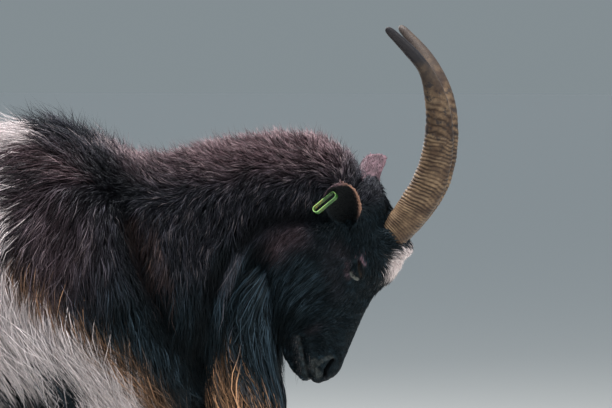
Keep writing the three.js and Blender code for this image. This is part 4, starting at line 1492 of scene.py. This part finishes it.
def ear_lie(at):
    """On an ear the hair runs from its root to its tip."""
    lie = np.empty((len(at), 3))
    for side, (_, direction, _) in EARS.items():
        mine = (at[:, 1] > 0) == (side == "left")
        lie[mine] = np.array(direction, float) / np.linalg.norm(direction)
    return lie


def ear_rows(at):
    """Hair on the ears: short and close, a little longer near the root."""
    rows = np.tile([0, 0, 6.5, 1.1, 0.16, 0.0], (len(at), 1))
    rows[:, 2] += smooth_step(80, 60, np.abs(at[:, 1])) * 10
    return rows


# For each part of the coat: how many pieces it is joined into, its slot, the number of
# tufts, their segments and width, then length and lift over the coat's rows, how much they stray and
# part along the back, how many tufts share a lock, how far a lock reaches, how tightly it clumps, and
# its waves. Some also have a brighter or more even tone, a wider mix at the markings' edges, a
# length under which tufts are finer, or rows and a direction of their own.
STYLES = {
    "flank": dict(pieces=4, slot="white_coat", count=12500, steps=3, width=1.8, length=1.15, fluff=-0.02,
                  stray=1.0, part=0.25, lock=14, lock_reach=17, clump=0.7, waves=0.8, curl=0.035),
    "shoulder": dict(pieces=2, slot="black_coat", count=28000, steps=2, width=1.3, length=1.1, fluff=-0.02,
                     stray=1.1, part=0.35, lock=12, lock_reach=9, clump=0.45, waves=0.8, curl=0.05,
                     bright=0.04),
    "neck": dict(pieces=4, slot="black_coat", count=38000, steps=2, width=0.95, length=1.0, fluff=0.02,
                 stray=1.3, part=0.15, lock=7, lock_reach=4, clump=0.3, waves=0.6, curl=0.06, bright=0.06),
    "head": dict(pieces=2, slot="black_coat", count=20500, steps=2, width=0.85, length=1.0, fluff=-0.02,
                 stray=0.45, part=0.0, lock=9, lock_reach=4, clump=0.25, waves=0.3, curl=0.02,
                 bright=0.01, even=0.4, fine=11.0),
    "leg": dict(pieces=2, slot="white_coat", count=8000, steps=2, width=1.9, length=1.1, fluff=0.0,
                stray=0.7, part=0.0, lock=10, lock_reach=6, clump=0.5, waves=0.3, curl=0.03, fine=26.0),
    "ear": dict(pieces=1, slot="ear_skin", count=2600, steps=2, width=0.8, length=1.0, fluff=0.0,
                stray=0.6, part=0.0, lock=8, lock_reach=4, clump=0.3, waves=0.3, curl=0.03,
                rows=ear_rows, direction=ear_lie),
    "tail": dict(pieces=1, slot="white_coat", count=1500, steps=3, width=3.0, length=1.1, fluff=0.05,
                 stray=1.0, part=0.2, lock=12, lock_reach=14, clump=0.75, waves=0.8, curl=0.05),
    "guard": dict(pieces=2, slot="black_coat", count=4600, steps=3, width=0.8, length=1.2, fluff=0.06,
                  stray=1.6, part=0.3, lock=3, lock_reach=4, clump=0.2, waves=0.7, curl=0.10,
                  bright=0.12, mix=12.0),
    "crest": dict(pieces=1, slot="black_coat", count=4200, steps=2, width=0.55, length=1.2, fluff=0.12,
                  stray=1.6, part=0.0, lock=5, lock_reach=4, clump=0.4, waves=0.5, curl=0.08,
                  bright=-0.30, stand=1.45),
}


def halves(p, parts):
    """Splits roots into one piece, two by side, or four by side and height."""
    if parts == 1:
        return {"both": np.ones(len(p), bool)}
    sides = {"left": p[:, 1] > 0, "right": p[:, 1] <= 0}
    if parts == 2:
        return sides
    out = {}
    for name, mine in sides.items():
        middle = np.median(p[mine, 2])
        out[name + "_upper"] = mine & (p[:, 2] >= middle)
        out[name + "_lower"] = mine & (p[:, 2] < middle)
    return out


def coat_weight(name, hide, zone):
    """How thickly one part of the coat grows on each triangle of the skin."""
    if name == "guard":
        return (zone == "shoulder") * 1.0 + (zone == "neck") * 0.8 + (zone == "flank") * 0.15
    if name == "crest":
        top = ((zone == "shoulder") | (zone == "neck")) * smooth_step(0.3, 0.8, hide.facing[:, 2])
        return top * smooth_step(680, 700, hide.mid[:, 2])
    weight = (zone == name) * (1 - bare_mask(hide.mid)) ** 2 * (1 - np.clip(pad_mask(hide.mid), 0, 1)) ** 2
    if name == "head":
        weight = weight / (0.35 + coat_at(hide.mid)[:, 2] / 16)
    return weight


def grow_coat(hide):
    """Every part of the coat on the skin, in the order of the styles."""
    zone = regions(hide.mid)
    for name, style in STYLES.items():
        count, middle = style["count"] // 1, style["steps"] // 2
        roots, nrm, uv = hide.scatter(coat_weight(name, hide, zone), count)
        path, length = comb(hide, roots, nrm, style)
        path, tone = clumped(path, style)
        tone = tone + (0.5 - tone) * style.get("even", 0.0) * (1 - markings(path[1])[:, 0])
        # Painted light: the style's lift, shade in the folds and highlights where the coat catches the light.
        tone = shaded(tone + style.get("bright", 0.0), path[middle])
        marks = markings(path[middle + 1] + RNG.normal(size=(count, 3)) * style.get("mix", 3.0))
        unsure = 1 - np.abs(2 * marks[:, 0] - 1)
        marks[:, 0] = smooth_step(0.3, 0.7, marks[:, 0] + 0.3 * unsure * RNG.normal(size=count))
        marks[:, 1] *= np.clip(0.3 + 1.1 * RNG.random(count), 0, 1)
        if name == "ear":
            rim, inside, tan_and_highlight = ear_marks(roots)
            add_ears(marks, rim, tan_and_highlight)
            marks[:, 2] = 0.1 * (1 - inside)
            tone = tone * (1 - 0.75 * inside) * np.where(roots[:, 1] < 0, 0.6, 1)
            # A painted highlight on the right ear's front edge.
            tone = np.maximum(tone, 0.85 * tan_and_highlight)
        width = style["width"] * (0.7 + 0.6 * RNG.random(count)) * 1
        width = width * np.clip(length / style.get("fine", 1.0), 0.6, 1)
        for key, mine in halves(roots, style["pieces"]).items():
            coat_piece(f"coat_{name}_{key}", path[:, mine], uv[mine], width[mine], marks[mine], tone[mine],
                       style["slot"])


def bristle_rows(length):
    """Rows for bristles that stand a little off the lips, whatever their place."""
    return lambda at: np.tile([-0.2, -0.9, length, length * 0.6, 0.45, 0.35], (len(at), 1))


def make_bristles(hide):
    """Pale stubble on the lips and chin, and a few long dark whiskers among it."""
    lips = [([(408, 490), (408, 474)], 5.0, 1.0), ([(409, 470), (413, 440)], 3.5, 0.45),
            ([(427, 468), (430, 446)], 2.0, 0.4)]
    weight = strongest(hide.mid, lips) * (hide.mid[:, 0] < 445) * (hide.mid[:, 2] < 495)
    for name, count, length, width, white in (("stubble", 420, 5.0, 0.42, 0.30),
                                              ("whiskers", 60, 20.0, 0.35, 0.0)):
        style = dict(steps=3, length=1.0, fluff=0.0, stray=1.2, part=0.0, rows=bristle_rows(length))
        roots, nrm, uv = hide.scatter(weight, count)
        path, _ = comb(hide, roots, nrm, style)
        marks = np.tile([white, 0, 0, 0.6, 0], (count, 1)) * (RNG.random(count) ** 2 * 1.6)[:, None]
        tone = 0.1 + 0.5 * RNG.random(count)
        widths = width * (0.7 + 0.6 * RNG.random(count))
        coat_piece("coat_" + name, path, uv, widths, marks, tone, "black_coat")


# ---- the beard -----------------------------------------------------------------------------------
def copper(p, late):
    """Where the beard's ends are bleached to copper; late is how much lower each begins."""
    q = slanted(p)
    x, z = q[:, 0], q[:, 2] + late
    front = np.interp(z, [330, 389, 470], [400, 372, 303])
    back = np.interp(z, [330, 389, 470], [276, 282, 292])
    return smooth_step(478, 446, z) * smooth_step(front + 9, front - 9, x) * smooth_step(back - 14, back + 4, x)


def beard_points(t, turn, radius):
    """Points of the beard's body, narrower in front where it comes from under the jaw."""
    p = loft_points(BEARD, t, turn, radius, square=2.7)
    p[:, 1] *= 1 - 0.38 * smooth_step(0.0, 1.0, np.cos(turn)) * smooth_step(0.75, 0.35, t)
    return p


def beard_strands(count, steps):
    """The points of the strands, from their roots on the beard's body down to their loose tips."""
    start = RNG.random(count) ** 1.35 * 0.66
    around = RNG.random(count) * 2 * math.pi
    out_to = 0.82 + 0.22 * RNG.random(count) ** 0.7 + 0.09 * (RNG.random(count) < 0.02)
    reach = np.clip(0.42 + 0.11 * RNG.normal(size=count), 0.16, 0.7)
    reach = np.minimum(reach, 0.80 + 0.18 * RNG.random(count) - start)
    place = np.stack([start * 90, around * 9, start * 20], 1)
    sweep = (0.26 + 0.14 * wobble(place, 9)) * np.sign(np.sin(around))
    loose = 0.05 + 0.40 * RNG.random(count)
    path = np.empty((steps + 1, count, 3))
    for k in range(steps + 1):
        s = k / steps
        t = np.clip(start + reach * s, 0.02, 0.985)
        past = loose * np.maximum(t - 0.80, 0)  # loose tips hang straight down
        t = t - past
        spread = out_to * (0.90 + 0.12 * s) * (0.80 + 0.20 * smooth_step(-0.02, 0.30, t))
        spread = np.where(start + reach * s > 0.93, spread * 0.9, spread)
        bow = math.sin(math.pi * s) - 0.25 * math.sin(2 * math.pi * s)
        path[k] = beard_points(t, around + sweep * bow * (1 - 0.5 * t), spread)
        path[k, :, 2] -= 250 * past
    phase = 0.9 * wobble(path[1], 40) + RNG.normal(size=count) * 0.12
    for k in range(1, steps + 1):
        s = k / steps
        sway = np.sin(phase * 2 + s * 3.0) * s * 3.5
        path[k, :, 1] += sway * np.cos(around) ** 2
        path[k, :, 0] += sway * 0.9 * np.abs(np.sin(around))
    return path


def make_beard():
    """A dark core of matted hair with long waved strands over it, from the jaw down to the tip."""
    rings, turns = 70, 48
    t, turn = ring_places(rings, turns, ends=0.4)
    core_size = (0.74 + 0.05 * np.sin(turn * 7 + t * 5)) * (0.55 + 0.45 * smooth_step(0, 0.34, t))
    core = closed_grid("beard_core", beard_points(t, turn, core_size), rings, turns)
    unwrap(core)
    hide = Hide(core)
    count, steps = 6400 // 1, 5
    path = beard_strands(count, steps)
    path, tone = clumped(path, dict(lock=16, lock_reach=12, clump=0.6, waves=0.5, curl=0.03))
    near = tree_of(hide.mid)
    uv = hide.uv[[near.find(q)[1] for q in path[0].tolist()]].mean(1)
    marks = np.tile([0.0, 0, 0, 1, 0], (count, 1))
    marks[:, 1] = 0.12 + 1.1 * (RNG.random(count) + 0.25 * wobble(path[steps], 12) > 0.46)
    # Painted blue of shade over the beard, weaker in waves.
    marks[:, 3] = 1 - 0.6 * smooth_step(0.3, 0.8, wobble(path[2], 16, 1.0))
    width = 1.8 * (0.6 + 0.8 * RNG.random(count)) * 1
    # The strands' tone is lifted as a painted highlight.
    coat_piece("beard_strands", path, uv, width, marks, shaded(tone + 0.14, path[1]), "beard_coat", "beard",
               tan_where=copper)
    # The core takes the full painted blue of shade and a dark tone.
    for key, value in (("sky_shade", 1), ("tone", 0.2)):
        attribute(core.data, key, np.full(len(core.data.vertices), value, dtype=float))
    finish_piece(core, "hair", "beard_coat")


# ---- floor, light and camera -----------------------------------------------------------------------
def area_light(name, at, aim, size, power, colour=(1, 1, 1)):
    """A round soft light at one place, turned to another."""
    data = bpy.data.lights.new(name, "AREA")
    data.shape = "DISK"
    data.size = size
    data.energy = power
    data.color = colour
    o = bpy.data.objects.new(name, data)
    o.location = at
    o.rotation_euler = (Vector(aim) - Vector(at)).to_track_quat("-Z", "Y").to_euler()
    bpy.context.collection.objects.link(o)


def make_studio():
    """A pale floor, a soft even sky behind it and three wide soft lights."""
    bpy.ops.mesh.primitive_plane_add(size=60, location=(0, 0, -0.0005))
    floor = bpy.context.object
    floor.name = "floor"
    floor.data.materials.append(MATERIALS["floor"])
    world = bpy.data.worlds.new("studio")
    bpy.context.scene.world = world
    world.use_nodes = True
    tree = world.node_tree
    sky = tree.nodes["Background"]
    sky.inputs[0].default_value = (0.76, 0.89, 1.0, 1)
    sky.inputs[1].default_value = 0.57
    backdrop = tree.nodes.new("ShaderNodeBackground")
    backdrop.inputs[0].default_value = (0.595, 0.694, 0.743, 1)
    backdrop.inputs[1].default_value = 0.3855
    direct = tree.nodes.new("ShaderNodeLightPath").outputs["Is Camera Ray"]
    both = tree.nodes.new("ShaderNodeMixShader")
    tree.links.new(direct, both.inputs[0])
    tree.links.new(sky.outputs[0], both.inputs[1])
    tree.links.new(backdrop.outputs[0], both.inputs[2])
    tree.links.new(both.outputs[0], tree.nodes["World Output"].inputs[0])
    area_light("top", (-0.2, 0.3, 3.2), (0.1, 0, 0.5), 2.2, 200, (1, 0.95, 0.92))
    area_light("front", (2.8, -2.2, 2.0), (0.3, 0, 0.6), 1.6, 66, (1, 0.98, 0.95))
    area_light("left_rear", (-1.8, 2.8, 2.0), (0.2, 0, 0.6), 2.0, 60)
    bpy.context.scene.view_settings.view_transform = "Standard"


def make_camera():
    """A long lens, well back on the goat's right, a little ahead of it and above its head."""
    azimuth, elevation, distance = math.radians(6), math.radians(3), 6.0
    forward = np.array([-math.sin(azimuth) * math.cos(elevation),
                        math.cos(azimuth) * math.cos(elevation), -math.sin(elevation)])
    aim = to_row((419.2, 0, 668.6))
    data = bpy.data.cameras.new("camera")
    data.sensor_width = 36
    data.lens = 257.6
    data.clip_end = 200
    o = bpy.data.objects.new("camera", data)
    o.location = Vector(aim - forward * distance)
    o.rotation_euler = Vector(forward).to_track_quat("-Z", "Y").to_euler()
    bpy.context.collection.objects.link(o)
    bpy.context.scene.camera = o


# ---- the whole goat --------------------------------------------------------------------------------
make_studio()
make_camera()
skin = make_skin()
paint_skin(skin)
finish_piece(skin, "skin", "white_coat", *FLESH, "ear_left", "ear_right")
make_horns()
make_eyes()
make_hooves()
make_tag()
hide = Hide(skin)
grow_coat(hide)
make_bristles(hide)
make_beard()
